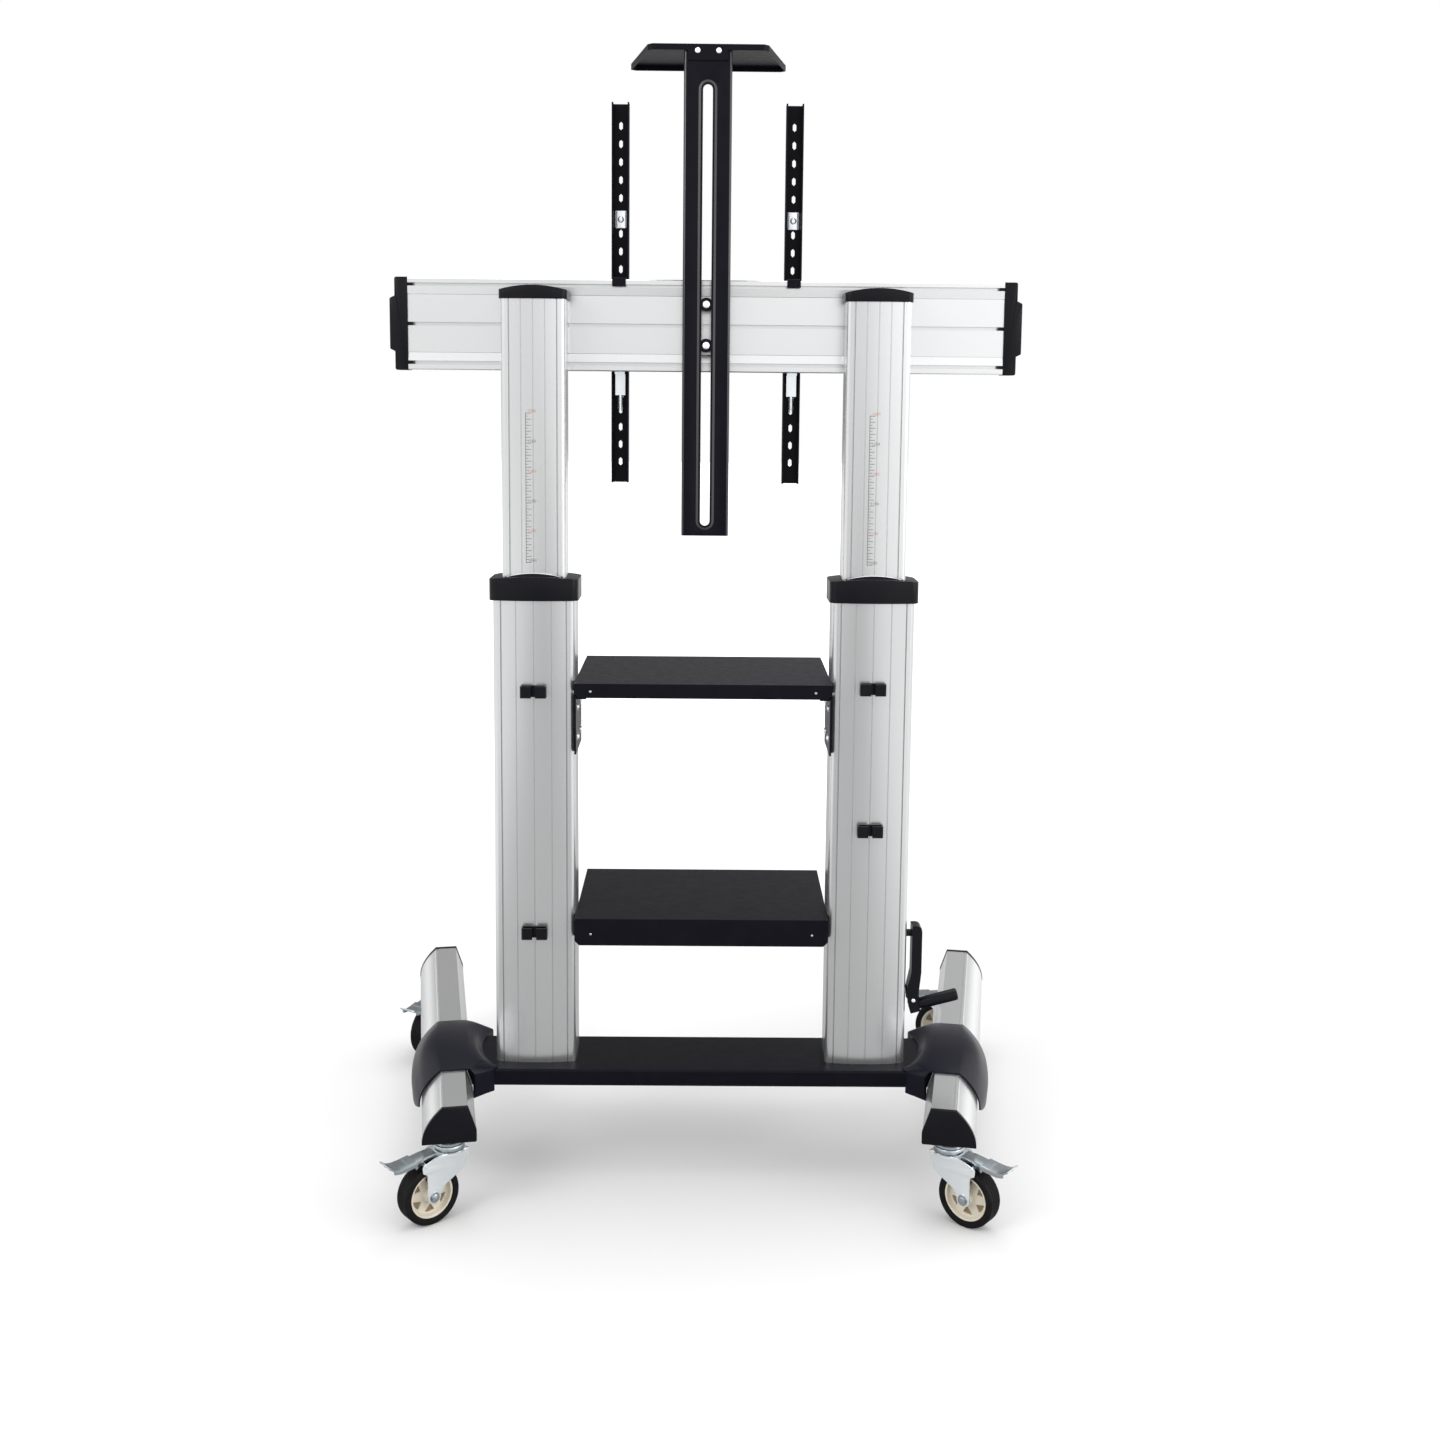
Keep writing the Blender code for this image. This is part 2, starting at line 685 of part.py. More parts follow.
def add_casters():
    """Four casters, each with a swivel axis at its stem and a wheel axis at its axle."""
    race, fork, hub = race_mesh(), fork_mesh(), hub_mesh()
    tyre, brake = tyre_mesh(), brake_mesh()
    flat_down = (math.pi / 2, 0.0, 0.0)
    for mesh in (hub, tyre):
        mesh.transform(Matrix.Rotation(math.pi / WHEEL_SIDES, 4, "Z"))
    for name, (side, end, trail) in CASTERS.items():
        along = end * (LEG_LENGTH / 2 - CASTER_INSET)
        x = side * (LEG_CENTRE_X + along * math.sin(LEG_SPLAY))
        y = LEG_CENTRE_Y + along * math.cos(LEG_SPLAY)
        stem = f"caster_{name}"
        turn = (0.0, 0.0, math.radians(trail))
        swivel = add_axis(f"{stem}_swivel_axis", (x, y, 0), turn)
        axle = add_axis(f"{stem}_wheel_axis", (CASTER_TRAIL, 0, WHEEL_RADIUS), parent=swivel)
        add_part(f"{stem}_race", race, ZINC, (x, y, 0))
        add_part(f"{stem}_fork", fork, ZINC, parent=swivel)
        add_part(f"{stem}_brake_lever", brake, ZINC, parent=swivel)
        add_part(f"{stem}_hub", hub, NYLON, turn=flat_down, parent=axle)
        add_part(f"{stem}_tyre", tyre, RUBBER, turn=flat_down, parent=axle)


# Base


def leg_outline(side, grow, grooved=False):
    """A leg's section: curved outer side, and an inner side that is upright, then slants in."""
    half, top, bottom = LEG_WIDTH / 2 + grow, LEG_HEIGHT + grow, -grow
    shoulder = half - LEG_CURVE_RUN
    rise = top - bottom
    curve = []
    for step in range(9):
        share = math.sin(math.pi / 2 * step / 8)
        curve.append((half - LEG_CURVE_RUN * share**2, bottom + rise * share))
    if grooved:
        curve[-1] = (shoulder + LEG_GROOVE, top)
        curve += [(shoulder, top - LEG_GROOVE), (shoulder - LEG_GROOVE, top)]
    heel = [(-half, LEG_SLANT_RISE), (-half, bottom + LEG_HEEL), (-half + LEG_HEEL, bottom)]
    points = [*heel, *curve, (-half + LEG_SLANT_RUN, top)]
    return points if side > 0 else mirrored(points)


def add_leg(side, name):
    """One leg of the base with its end caps, about its own axis on the leg's bottom."""
    turn = (0.0, 0.0, -side * LEG_SPLAY)
    middle = (side * LEG_CENTRE_X, LEG_CENTRE_Y, LEG_BOTTOM_Z)
    axis = add_axis(f"leg_{name}_axis", middle, turn)
    loops = [leg_outline(side, 0.0, grooved=True), leg_outline(side, -LEG_WALL)]
    add_part(f"leg_{name}", extrusion("leg", loops, LEG_LENGTH), ALUMINIUM, turn=IN_XZ, parent=axis)
    for end, end_name in ((-1, "rear"), (1, "front")):
        plate = extrusion("leg_cap", [leg_outline(side, LEG_CAP_OVERHANG)], LEG_CAP_THICKNESS)
        outside = -end * LEG_CAP_THICKNESS / 2
        bevelled(plate, lambda co, z=outside: abs(co.z - z) < 1e-5, 0.0025)
        at = end * (LEG_LENGTH / 2 + SEAT_GAP + LEG_CAP_THICKNESS / 2)
        cap = add_part(
            f"leg_cap_{end_name}_{name}", plate, PLASTIC, (0, at, 0), IN_XZ, parent=axis
        )
        fit = leg_outline(side, -LEG_WALL - 2 * SEAT_GAP)
        plug = extrusion("leg_cap_plug", [fit], LEG_CAP_PLUG)
        plug_at = end * (LEG_LENGTH / 2 - LEG_CAP_PLUG / 2 + SEAT_GAP + 0.001)
        combine(cap, helper(plug, (0, plug_at, 0), IN_XZ, axis), "UNION")


def tray_outline():
    """The tray's section: a channel open downwards, in the YZ plane."""
    half, edge, wall = TRAY_DEPTH / 2, TRAY_EDGE, TRAY_WALL
    outer = [(half, -TRAY_LIP), (half, -edge), (half - edge, 0.0)]
    inner = [(half - wall, -TRAY_LIP), (half - wall, -edge), (half - edge, -wall)]
    right = outer + [(-x, y) for x, y in reversed(outer)]
    left = [(-x, y) for x, y in inner] + inner[::-1]
    return right + left


def leg_axis_x(y):
    """How far from the middle a leg's axis lies at this depth."""
    return LEG_CENTRE_X + (y - LEG_CENTRE_Y) * math.tan(LEG_SPLAY)


def add_tray():
    """The tray across the base, its ends cut to the legs' slanted sides."""
    length = 2 * leg_axis_x(TRAY_Y)
    mesh = extrusion("base_tray", [tray_outline()], length)
    tray = add_part("base_tray", mesh, STEEL, (0, TRAY_Y, TRAY_TOP_Z), IN_YZ)
    for side in (-1, 1):
        cutter = extrusion("leg_clearance", [leg_outline(side, SEAT_GAP)], LEG_LENGTH)
        axis = bpy.data.objects["leg_left_axis" if side < 0 else "leg_right_axis"]
        combine(tray, helper(cutter, (0, 0, 0), IN_XZ, axis), "DIFFERENCE")


def cover_inner_edge(s):
    """How far in towards the middle the cover reaches, from its middle to its ends."""
    share = abs(s) / COVER_CORNER_AT
    if share <= 1:
        return -COVER_WAIST - (COVER_CORNER - COVER_WAIST) * share**2
    end = LEG_WIDTH / 2 + COVER_WALL + COVER_SLACK
    blend = (abs(s) - COVER_CORNER_AT) / (1 - COVER_CORNER_AT)
    return -COVER_CORNER + (COVER_CORNER - end) * blend**1.5


def cover_section(s):
    """The cover's section across the leg, outer side first, at a share of its half length."""
    swell = 1 - s * s
    margin = COVER_WALL + RUN_GAP
    top = LEG_HEIGHT + margin + COVER_CROWN * swell
    shoulder = LEG_WIDTH / 2 - LEG_CURVE_RUN + COVER_SLACK
    run = LEG_CURVE_RUN + margin + COVER_SLACK / 2 + COVER_BULGE * swell
    points = [(shoulder + run - 0.002 * swell, -0.002 - COVER_SKIRT * swell)]
    for step in range(9):
        angle = math.pi / 2 * step / 8
        along = math.cos(angle) ** (1 + s * s)
        points.append((shoulder + run * along, top * math.sin(angle)))
    inner_top = -LEG_WIDTH / 2 + LEG_SLANT_RUN - 0.007 * swell
    edge = cover_inner_edge(s)
    ledge = LEG_HEIGHT - TRAY_DROP + COVER_WALL + SEAT_GAP + 0.0005
    points.append((inner_top, top))
    points.append(((inner_top + edge) / 2, (top + ledge) / 2 + 0.004))
    points.append((edge + 0.002, ledge))
    points.append((edge, ledge - 0.004))
    points.append((edge, COVER_INNER_SKIRT))
    return points


def cover_sheet(side):
    """The cover's outer surface, lofted along the leg, facing out."""
    shares = [-1, -0.92, -0.84, -0.75, -0.5, -0.25, 0, 0.25, 0.5, 0.75, 0.84, 0.92, 1]
    shape = bmesh.new()
    rows = []
    for s in shares:
        along = s * COVER_LENGTH / 2
        rows.append([shape.verts.new((side * u, along, z)) for u, z in cover_section(s)])
    for row, following in zip(rows, rows[1:]):
        for i in range(len(row) - 1):
            shape.faces.new((row[i], row[i + 1], following[i + 1], following[i]))
    shape.normal_update()
    plateau = max(shape.faces, key=lambda face: face.calc_center_median().z)
    if plateau.normal.z < 0:
        bmesh.ops.reverse_faces(shape, faces=shape.faces)
    mesh = bpy.data.meshes.new("leg_cover")
    shape.to_mesh(mesh)
    shape.free()
    return mesh


def add_cover(side, name):
    """The moulded cover over a leg and the tray's end, open below and at both ends."""
    along = (TRAY_Y - LEG_CENTRE_Y) / math.cos(LEG_SPLAY)
    axis = bpy.data.objects[f"leg_{name}_axis"]
    cover = add_part(f"leg_cover_{name}", cover_sheet(side), PLASTIC, (0, along, 0), parent=axis)
    wall = cover.modifiers.new("wall", "SOLIDIFY")
    wall.thickness = COVER_WALL
    wall.offset = -1
    wall.use_even_offset = True
    far, near = leg_axis_x(TRAY_Y), COLUMN_X
    size = (far - near, TRAY_DEPTH + 2 * SEAT_GAP, TRAY_TOP_Z + SEAT_GAP)
    way = block("tray_clearance", size)
    combine(cover, helper(way, (side * (far + near) / 2, TRAY_Y, size[2] / 2)), "DIFFERENCE")
    for end in (-1, 1):
        y = TRAY_Y + end * (TRAY_DEPTH / 2 + 2 * SEAT_GAP + COVER_WALL / 2)
        outer = leg_axis_x(y) - LEG_WIDTH / 2 / math.cos(LEG_SPLAY) - 2 * RUN_GAP
        inner = leg_axis_x(y) - COVER_CORNER + 0.0095
        low, high = LEG_BOTTOM_Z + COVER_INNER_SKIRT, TRAY_TOP_Z + SEAT_GAP + COVER_WALL / 2
        corners = [(inner, high), (inner, low), (outer, low - COVER_GUSSET_SLANT), (outer, high)]
        gusset = extrusion("cover_gusset", [[(side * x, z) for x, z in corners]], COVER_WALL)
        combine(cover, helper(gusset, (0, y, 0), IN_XZ), "UNION")


# Columns and the lift drive


def add_outer_column(side, name):
    """A fixed outer column with the holes that the cross shaft needs."""
    notches = column_notches(OUTER_WIDTH, OUTER_RIB_PITCH)
    section = column_outline(OUTER_WIDTH, OUTER_DEPTH, OUTER_CROWN, OUTER_CORNER, notches)
    room = rectangle(
        OUTER_WIDTH - 2 * OUTER_WALL,
        OUTER_DEPTH - 2 * (OUTER_CROWN + OUTER_WALL),
        corner=OUTER_CORNER - OUTER_WALL,
    )
    mesh = extrusion("outer_column", [section, room], OUTER_LENGTH)
    middle = (side * COLUMN_X, COLUMN_Y, OUTER_BOTTOM_Z + OUTER_LENGTH / 2)
    column = add_part(f"outer_column_{name}", mesh, ALUMINIUM, middle)
    hole_radius = SHAFT_RADIUS + RUN_GAP
    reach = OUTER_WIDTH if side > 0 else OUTER_WIDTH / 2
    start = COLUMN_X - OUTER_WIDTH / 2 - 0.01
    hole = rod("shaft_hole", hole_radius, reach + 0.02)
    hole_x = side * (start + (reach + 0.02) / 2)
    combine(column, helper(hole, (hole_x, SHAFT_Y, CRANK_Z), IN_YZ), "DIFFERENCE")


def add_inner_column(side, name):
    """A lifting inner column with the nut of its lead screw in the bottom."""
    notches = column_notches(INNER_WIDTH, INNER_RIB_PITCH)
    section = column_outline(INNER_WIDTH, INNER_DEPTH, INNER_CROWN, INNER_CORNER, notches)
    room = (INNER_WIDTH - 2 * INNER_WALL, INNER_DEPTH - 2 * (INNER_CROWN + INNER_WALL))
    corner = INNER_CORNER - INNER_WALL
    mesh = extrusion("inner_column", [section, rectangle(*room, corner=corner)], INNER_LENGTH)
    x = side * COLUMN_X
    column = add_part(
        f"inner_column_{name}", mesh, ALUMINIUM, (x, COLUMN_Y, INNER_TOP_Z - INNER_LENGTH / 2)
    )
    seat = rectangle(room[0] + INNER_WALL / 2, room[1] + INNER_WALL / 2)
    nut = extrusion("lift_nut", [seat, circle(SCREW_RADIUS + RUN_GAP)], NUT_HEIGHT)
    nut_z = INNER_BOTTOM_Z + NUT_HEIGHT / 2 + 0.004
    combine(column, helper(nut, (x, COLUMN_Y, nut_z)), "UNION")


def crowned(width, bottom, shoulder, rise, steps=10):
    """An outline in the XZ plane with a bowed top edge."""
    points = [(-width / 2, bottom), (width / 2, bottom)]
    for step in range(steps + 1):
        x = width / 2 - width * step / steps
        points.append((x, shoulder + rise * (1 - (2 * x / width) ** 2)))
    return points


def add_collar(side, name):
    """The collar on an outer column: a crowned frame with a lip round the inner column."""
    width, depth = OUTER_WIDTH + 2 * COLLAR_MARGIN, OUTER_DEPTH + 2 * COLLAR_MARGIN
    bottom = OUTER_TOP_Z - COLLAR_SKIRT
    height = COLLAR_HEIGHT + COLLAR_CROWN + COLLAR_LIP_RISE
    x = side * COLUMN_X
    ring = column_outline(width, depth, OUTER_CROWN, COLLAR_CORNER, [])
    mesh = extrusion("collar", [ring], height)
    collar = add_part(f"collar_{name}", mesh, PLASTIC, (x, COLUMN_Y, bottom + height / 2))
    top = crowned(width + 0.01, bottom - 0.01, bottom + COLLAR_HEIGHT, COLLAR_CROWN)
    shape = extrusion("collar_crown", [top], depth + 0.02)
    combine(collar, helper(shape, (x, COLUMN_Y, 0), IN_XZ), "INTERSECT")
    lip_depth = INNER_DEPTH / 2 + COLLAR_LIP
    pocket_depth = depth / 2 - OUTER_CROWN - COLLAR_WALL - lip_depth
    brow_width = INNER_WIDTH - 1.5 * INNER_CORNER
    size = (brow_width - 0.002, pocket_depth, 2 * COLLAR_POCKET)
    for end in (-1, 1):
        pocket = block("collar_pocket", size)
        y = COLUMN_Y + end * (lip_depth - 0.0005 + pocket_depth / 2)
        combine(collar, helper(pocket, (x, y, bottom + COLLAR_HEIGHT)), "DIFFERENCE")
    shoulder = bottom + COLLAR_HEIGHT + COLLAR_LIP_RISE
    brow = crowned(brow_width, bottom + 0.012, shoulder, COLLAR_CROWN)
    lip = extrusion("collar_lip", [brow], 2 * lip_depth)
    combine(collar, helper(lip, (x, COLUMN_Y, 0), IN_XZ), "UNION")
    room = (INNER_WIDTH + 2 * RUN_GAP, INNER_DEPTH + 2 * RUN_GAP)
    throat = extrusion("collar_throat", [column_outline(*room, INNER_CROWN, INNER_CORNER, [])], 0.2)
    combine(collar, helper(throat, (x, COLUMN_Y, bottom)), "DIFFERENCE")
    seat = column_outline(
        OUTER_WIDTH + 2 * SEAT_GAP, OUTER_DEPTH + 2 * SEAT_GAP, OUTER_CROWN, OUTER_CORNER, []
    )
    socket = extrusion("collar_socket", [seat], 2 * (COLLAR_SKIRT + SEAT_GAP))
    combine(collar, helper(socket, (x, COLUMN_Y, bottom)), "DIFFERENCE")


def add_column_cap(side, name):
    """The cap on an inner column, crowned on top and flush with the beam's side."""
    width, depth = INNER_WIDTH + 2 * CAP_MARGIN, INNER_DEPTH + CAP_MARGIN
    bottom = INNER_TOP_Z + SEAT_GAP
    height = CAP_HEIGHT + CAP_CROWN
    at = (side * COLUMN_X, COLUMN_Y - CAP_MARGIN / 2, 0)
    section = column_outline(width, depth, INNER_CROWN, INNER_CORNER + CAP_MARGIN, [])
    mesh = extrusion("column_cap", [section], height)
    cap = add_part(f"column_cap_{name}", mesh, PLASTIC, (at[0], at[1], bottom + height / 2))
    top = crowned(width + 0.002, bottom - 0.01, bottom + CAP_HEIGHT, CAP_CROWN)
    shape = extrusion("cap_crown", [top], depth + 0.02)
    combine(cap, helper(shape, at, IN_XZ), "INTERSECT")


def add_lead_screw(side, name):
    """A lead screw on the tray, with the gear that the cross shaft turns."""
    bottom, top = TRAY_TOP_Z + SEAT_GAP, OUTER_TOP_Z - SCREW_TOP_CLEARANCE
    gear_low, gear_high = CRANK_Z - GEAR_WIDTH / 2, CRANK_Z + GEAR_WIDTH / 2
    profile = [
        (0, bottom),
        (SCREW_RADIUS, bottom),
        (SCREW_RADIUS, gear_low),
        (GEAR_RADIUS, gear_low),
        (GEAR_RADIUS, gear_high),
        (SCREW_RADIUS, gear_high),
        (SCREW_RADIUS, top - 0.003),
        (SCREW_RADIUS - 0.003, top),
        (0, top),
    ]
    mesh = turned("lead_screw", profile, ROUND_SIDES, closed=False)
    add_part(f"lead_screw_{name}", mesh, ZINC, (side * COLUMN_X, COLUMN_Y, 0))


def add_cross_shaft():
    """The shaft through both columns, with a gear in each, on the crank's axis."""
    left = -COLUMN_X - GEAR_WIDTH
    right = CRANK_INNER_X - SEAT_GAP
    half = GEAR_WIDTH / 2
    profile = [(0, left), (SHAFT_RADIUS, left)]
    for x in (-COLUMN_X, COLUMN_X):
        profile += [(SHAFT_RADIUS, x - half), (GEAR_RADIUS, x - half)]
        profile += [(GEAR_RADIUS, x + half), (SHAFT_RADIUS, x + half)]
    profile += [(SHAFT_RADIUS, right), (0, right)]
    mesh = turned("cross_shaft", profile, ROUND_SIDES, closed=False)
    add_part("cross_shaft", mesh, ZINC, (0, SHAFT_Y, CRANK_Z), IN_YZ)


# Crank


def crank_outline():
    """The crank arm seen along Y: straight, then bent towards the column at its pivot."""
    inner, outer = CRANK_INNER_X, CRANK_INNER_X + CRANK_DEPTH
    top, pivot = CRANK_TOP, -CRANK_REACH
    bend_start, bend_end = pivot + 0.050, pivot + 0.016
    round_top = arc((outer - 0.009, top - 0.009), 0.009, 0, 90, 3)
    foot = arc((pivot_x(), pivot), 0.0105, 200, 340, 4)
    return [
        (inner, top),
        (inner, bend_start),
        (inner - CRANK_BEND, bend_end),
        *foot,
        (outer - CRANK_BEND / 2, bend_end),
        (outer, bend_start),
        *round_top,
    ]


def pivot_x():
    """Where the grip's pivot lies on the crank arm."""
    return CRANK_INNER_X - CRANK_BEND + 0.0115


def add_crank():
    """The crank arm, a channel open away from the column, its knuckle and its grip."""
    axis = add_axis("crank_axis", (0, SHAFT_Y, CRANK_Z))
    mesh = extrusion("crank_arm", [crank_outline()], CRANK_WIDTH)
    arm = add_part("crank_arm", mesh, STEEL, turn=IN_XZ, parent=axis)
    room_width = CRANK_WIDTH - 2 * CRANK_WALL
    room_top, room_bottom = -0.014, -CRANK_REACH - 0.03
    web = CRANK_INNER_X + CRANK_WALL
    room = block("crank_channel", (0.06, room_width, room_top - room_bottom))
    at = (web + 0.03, 0, (room_top + room_bottom) / 2)
    combine(arm, helper(room, at, parent=axis), "DIFFERENCE")
    ears = block("crank_ears", (0.08, room_width, 0.058))
    ears_z = -CRANK_REACH - 0.03 + 0.022
    combine(arm, helper(ears, (pivot_x(), 0, ears_z), parent=axis), "DIFFERENCE")
    pin = rod("crank_pin", PIVOT_RADIUS, CRANK_WIDTH + 0.002, 16)
    combine(arm, helper(pin, (pivot_x(), 0, -CRANK_REACH), IN_XZ, axis), "UNION")
    fold = add_axis("grip_fold_axis", (pivot_x(), 0, -CRANK_REACH), (0, -GRIP_TILT, 0), axis)
    add_knuckle(fold, room_width)
    add_grip(fold)


def add_knuckle(fold, room_width):
    """The block between pivot and grip, with the spindle that the grip turns on."""
    low = -GRIP_OFFSET - GRIP_RADIUS
    front = -GRIP_ROOT + KNUCKLE_LENGTH
    outline = [
        (-GRIP_ROOT, low),
        (front, low),
        (front, -0.0015),
        *arc((0, 0), 0.0078, 10, 180, 5),
        (-GRIP_ROOT, -0.010),
    ]
    hole = circle(PIVOT_RADIUS + RUN_GAP, sides=16)
    width = room_width - 2 * RUN_GAP
    mesh = extrusion("crank_knuckle", [outline, hole], width)
    knuckle = add_part("crank_knuckle", mesh, PLASTIC, turn=IN_XZ, parent=fold)
    length = GRIP_LENGTH - front - 0.010
    spindle = rod("grip_spindle", SPINDLE_RADIUS, length + 0.004, 16)
    at = (front - 0.004 + (length + 0.004) / 2, 0, -GRIP_OFFSET)
    combine(knuckle, helper(spindle, at, IN_YZ, fold), "UNION")


def add_grip(fold):
    """The grip, which spins on the knuckle's spindle."""
    start = -GRIP_ROOT + KNUCKLE_LENGTH + RUN_GAP
    length = GRIP_LENGTH - start
    bore = SPINDLE_RADIUS + RUN_GAP
    blind = length - 0.009
    profile = [
        (bore, 0),
        (GRIP_RADIUS, 0),
        (GRIP_RADIUS, length - 0.0015),
        (GRIP_RADIUS - 0.0015, length),
        (0, length),
        (0, blind),
        (bore, blind),
    ]
    mesh = turned("crank_grip", profile, ROUND_SIDES)
    add_part("crank_grip", mesh, PLASTIC, (start, 0, -GRIP_OFFSET), IN_YZ, fold)


# Shelves


def shelf_outline(lip):
    """A shelf seen from the service side, its lower corners chamfered."""
    half, cut = SHELF_HALF_WIDTH, SHELF_CHAMFER
    return [
        (-half, 0.0),
        (-half, -lip + cut),
        (-half + cut, -lip),
        (half - cut, -lip),
        (half, -lip + cut),
        (half, 0.0),
    ]


def add_shelf(name, top_z, lip):
    """A pressed shelf, open below, with a lip all round."""
    mesh = extrusion(name, [shelf_outline(lip)], SHELF_DEPTH)
    shelf = add_part(name, mesh, STEEL, (0, SHELF_CENTRE_Y, top_z), IN_XZ)
    inside = (2 * (SHELF_HALF_WIDTH - SHELF_WALL), SHELF_DEPTH - 2 * SHELF_WALL, 2 * lip)
    hollow = block(name + "_hollow", inside)
    at = (0, SHELF_CENTRE_Y, top_z - SHELF_WALL - lip)
    combine(shelf, helper(hollow, at), "DIFFERENCE")
    return shelf


def add_shelves():
    """The lower shelf, over the cross shaft, and the upper one on its two brackets."""
    add_shelf("upper_shelf", UPPER_SHELF_Z, UPPER_SHELF_LIP)
    lower = add_shelf("lower_shelf", LOWER_SHELF_Z, LOWER_SHELF_LIP)
    way = rod("shaft_way", SHAFT_RADIUS + RUN_GAP, 2 * SHELF_HALF_WIDTH + 0.02)
    combine(lower, helper(way, (0, SHAFT_Y, CRANK_Z), IN_YZ), "DIFFERENCE")
    ledge_top = UPPER_SHELF_Z - UPPER_SHELF_LIP - SEAT_GAP
    for side, name in ((-1, "left"), (1, "right")):
        outline = [
            (0.0, 0.0),
            (0.0, -BRACKET_DROP),
            (-BRACKET_WALL, -BRACKET_DROP),
            (-BRACKET_WALL, -BRACKET_WALL),
            (-BRACKET_LEDGE, -BRACKET_WALL),
            (-BRACKET_LEDGE, 0.0),
        ]
        if side < 0:
            outline = mirrored(outline)
        mesh = extrusion("upper_shelf_bracket", [outline], BRACKET_SPAN)
        at = (side * SHELF_HALF_WIDTH, COLUMN_Y, ledge_top)
        add_part(f"upper_shelf_bracket_{name}", mesh, STEEL, at, IN_XZ)


# Beam, mast and screen brackets


def beam_outline():
    """The beam's section in the YZ plane, its two faces alike."""
    half, side = BEAM_HEIGHT / 2, BEAM_DEPTH / 2
    upper = [
        (CHANNEL_HALF, BAND_DEPTH + CHANNEL_DEPTH),
        (CHANNEL_HALF, BAND_DEPTH),
        (BAND_HALF, BAND_DEPTH),
        (BAND_HALF, 0.0),
        (SLOT_AT - SLOT_HALF, 0.0),
        (SLOT_AT - SLOT_HALF, SLOT_DEPTH),
        (SLOT_AT + SLOT_HALF, SLOT_DEPTH),
        (SLOT_AT + SLOT_HALF, 0.0),
        (half - 0.001, 0.0),
        (half, 0.001),
    ]
    stops = [(-height, inset) for height, inset in reversed(upper)] + upper
    front = [(side - inset, height) for height, inset in stops]
    rear = [(-side + inset, height) for height, inset in reversed(stops)]
    return front + rear


def add_beam():
    """The hollow cross beam and the caps on its two ends."""
    room_depth = BEAM_DEPTH - 2 * (BEAM_WALL + SLOT_DEPTH)
    loops = [beam_outline()]
    chamber = BAND_HALF - 1.5 * BEAM_WALL
    for side in (-1, 1):
        middle = (0.0, side * (chamber + BEAM_WALL / 2) / 2)
        loops.append(rectangle(room_depth, chamber - BEAM_WALL / 2, middle))
    edge_room = BEAM_HEIGHT / 2 - BEAM_WALL - BAND_HALF
    for side in (-1, 1):
        middle = (0.0, side * (BAND_HALF + edge_room / 2))
        loops.append(rectangle(room_depth, edge_room, middle))
    mesh = extrusion("beam", loops, BEAM_LENGTH)
    middle_y = (BEAM_REAR_Y + BEAM_FRONT_Y) / 2
    add_part("beam", mesh, ALUMINIUM, (0, middle_y, BEAM_CENTRE_Z), IN_YZ)
    for side, name in ((-1, "left"), (1, "right")):
        end, reach, short = SEAT_GAP, BEAM_CAP_LENGTH, BEAM_CAP_SHOULDER
        half = BEAM_HEIGHT / 2 + BEAM_CAP_MARGIN
        flat = BEAM_CAP_FLAT
        outline = [
            (end, -half),
            (short, -half),
            (short, -flat - 0.012),
            (reach, -flat),
            (reach, flat),
            (short, flat + 0.012),
            (short, half),
            (end, half),
        ]
        if side < 0:
            outline = mirrored(outline)
        depth = BEAM_DEPTH
        cap = extrusion("beam_cap", [outline], depth)
        bevelled(cap, lambda co: True, 0.0015, 1)
        add_part(
            f"beam_cap_{name}",
            cap,
            PLASTIC,
            (side * BEAM_LENGTH / 2, middle_y, BEAM_CENTRE_Z),
            IN_XZ,
        )


def add_mast():
    """The camera mast: a channel with a long slot inside a raised border."""
    bottom, top = -MAST_BELOW, MAST_ABOVE
    wall, half = MAST_WALL, MAST_WIDTH / 2
    length, middle = top - bottom, BEAM_CENTRE_Z + (top + bottom) / 2
    channel = [
        (-half, MAST_DEPTH),
        (-half, 0.002),
        (-half + 0.002, 0.0),
        (half - 0.002, 0.0),
        (half, 0.002),
        (half, MAST_DEPTH),
        (half - wall, MAST_DEPTH),
        (half - wall, wall),
        (-half + wall, wall),
        (-half + wall, MAST_DEPTH),
    ]
    mesh = extrusion("camera_mast", [channel], length)
    mast = add_part("camera_mast", mesh, STEEL, (0, MAST_REAR_Y, middle))
    low, high = bottom + MAST_SLOT_START, top - MAST_SLOT_END
    border = stadium(MAST_BORDER, low, high, steps=8)
    rise = MAST_BORDER_RISE + wall / 2
    raised = extrusion("mast_border", [border], rise)
    raised_y = MAST_REAR_Y - MAST_BORDER_RISE + rise / 2
    combine(mast, helper(raised, (0, raised_y, BEAM_CENTRE_Z), IN_XZ), "UNION")
    inset = (MAST_BORDER - MAST_SLOT) / 2
    slot = extrusion("mast_slot", [stadium(MAST_SLOT, low + inset, high - inset)], 0.02)
    combine(mast, helper(slot, (0, MAST_REAR_Y, BEAM_CENTRE_Z), IN_XZ), "DIFFERENCE")


def camera_outline(inset):
    """The camera shelf from above, wider towards the screen side."""
    rear, front = CAMERA_REAR_WIDTH / 2 - inset, CAMERA_FRONT_WIDTH / 2 - inset
    corner = 0.008
    return [
        (-rear + corner, inset),
        (rear - corner, inset),
        (rear, inset + corner),
        (front, CAMERA_DEPTH - inset - corner),
        (front - corner, CAMERA_DEPTH - inset),
        (-front + corner, CAMERA_DEPTH - inset),
        (-front, CAMERA_DEPTH - inset - corner),
        (-rear, inset + corner),
    ]


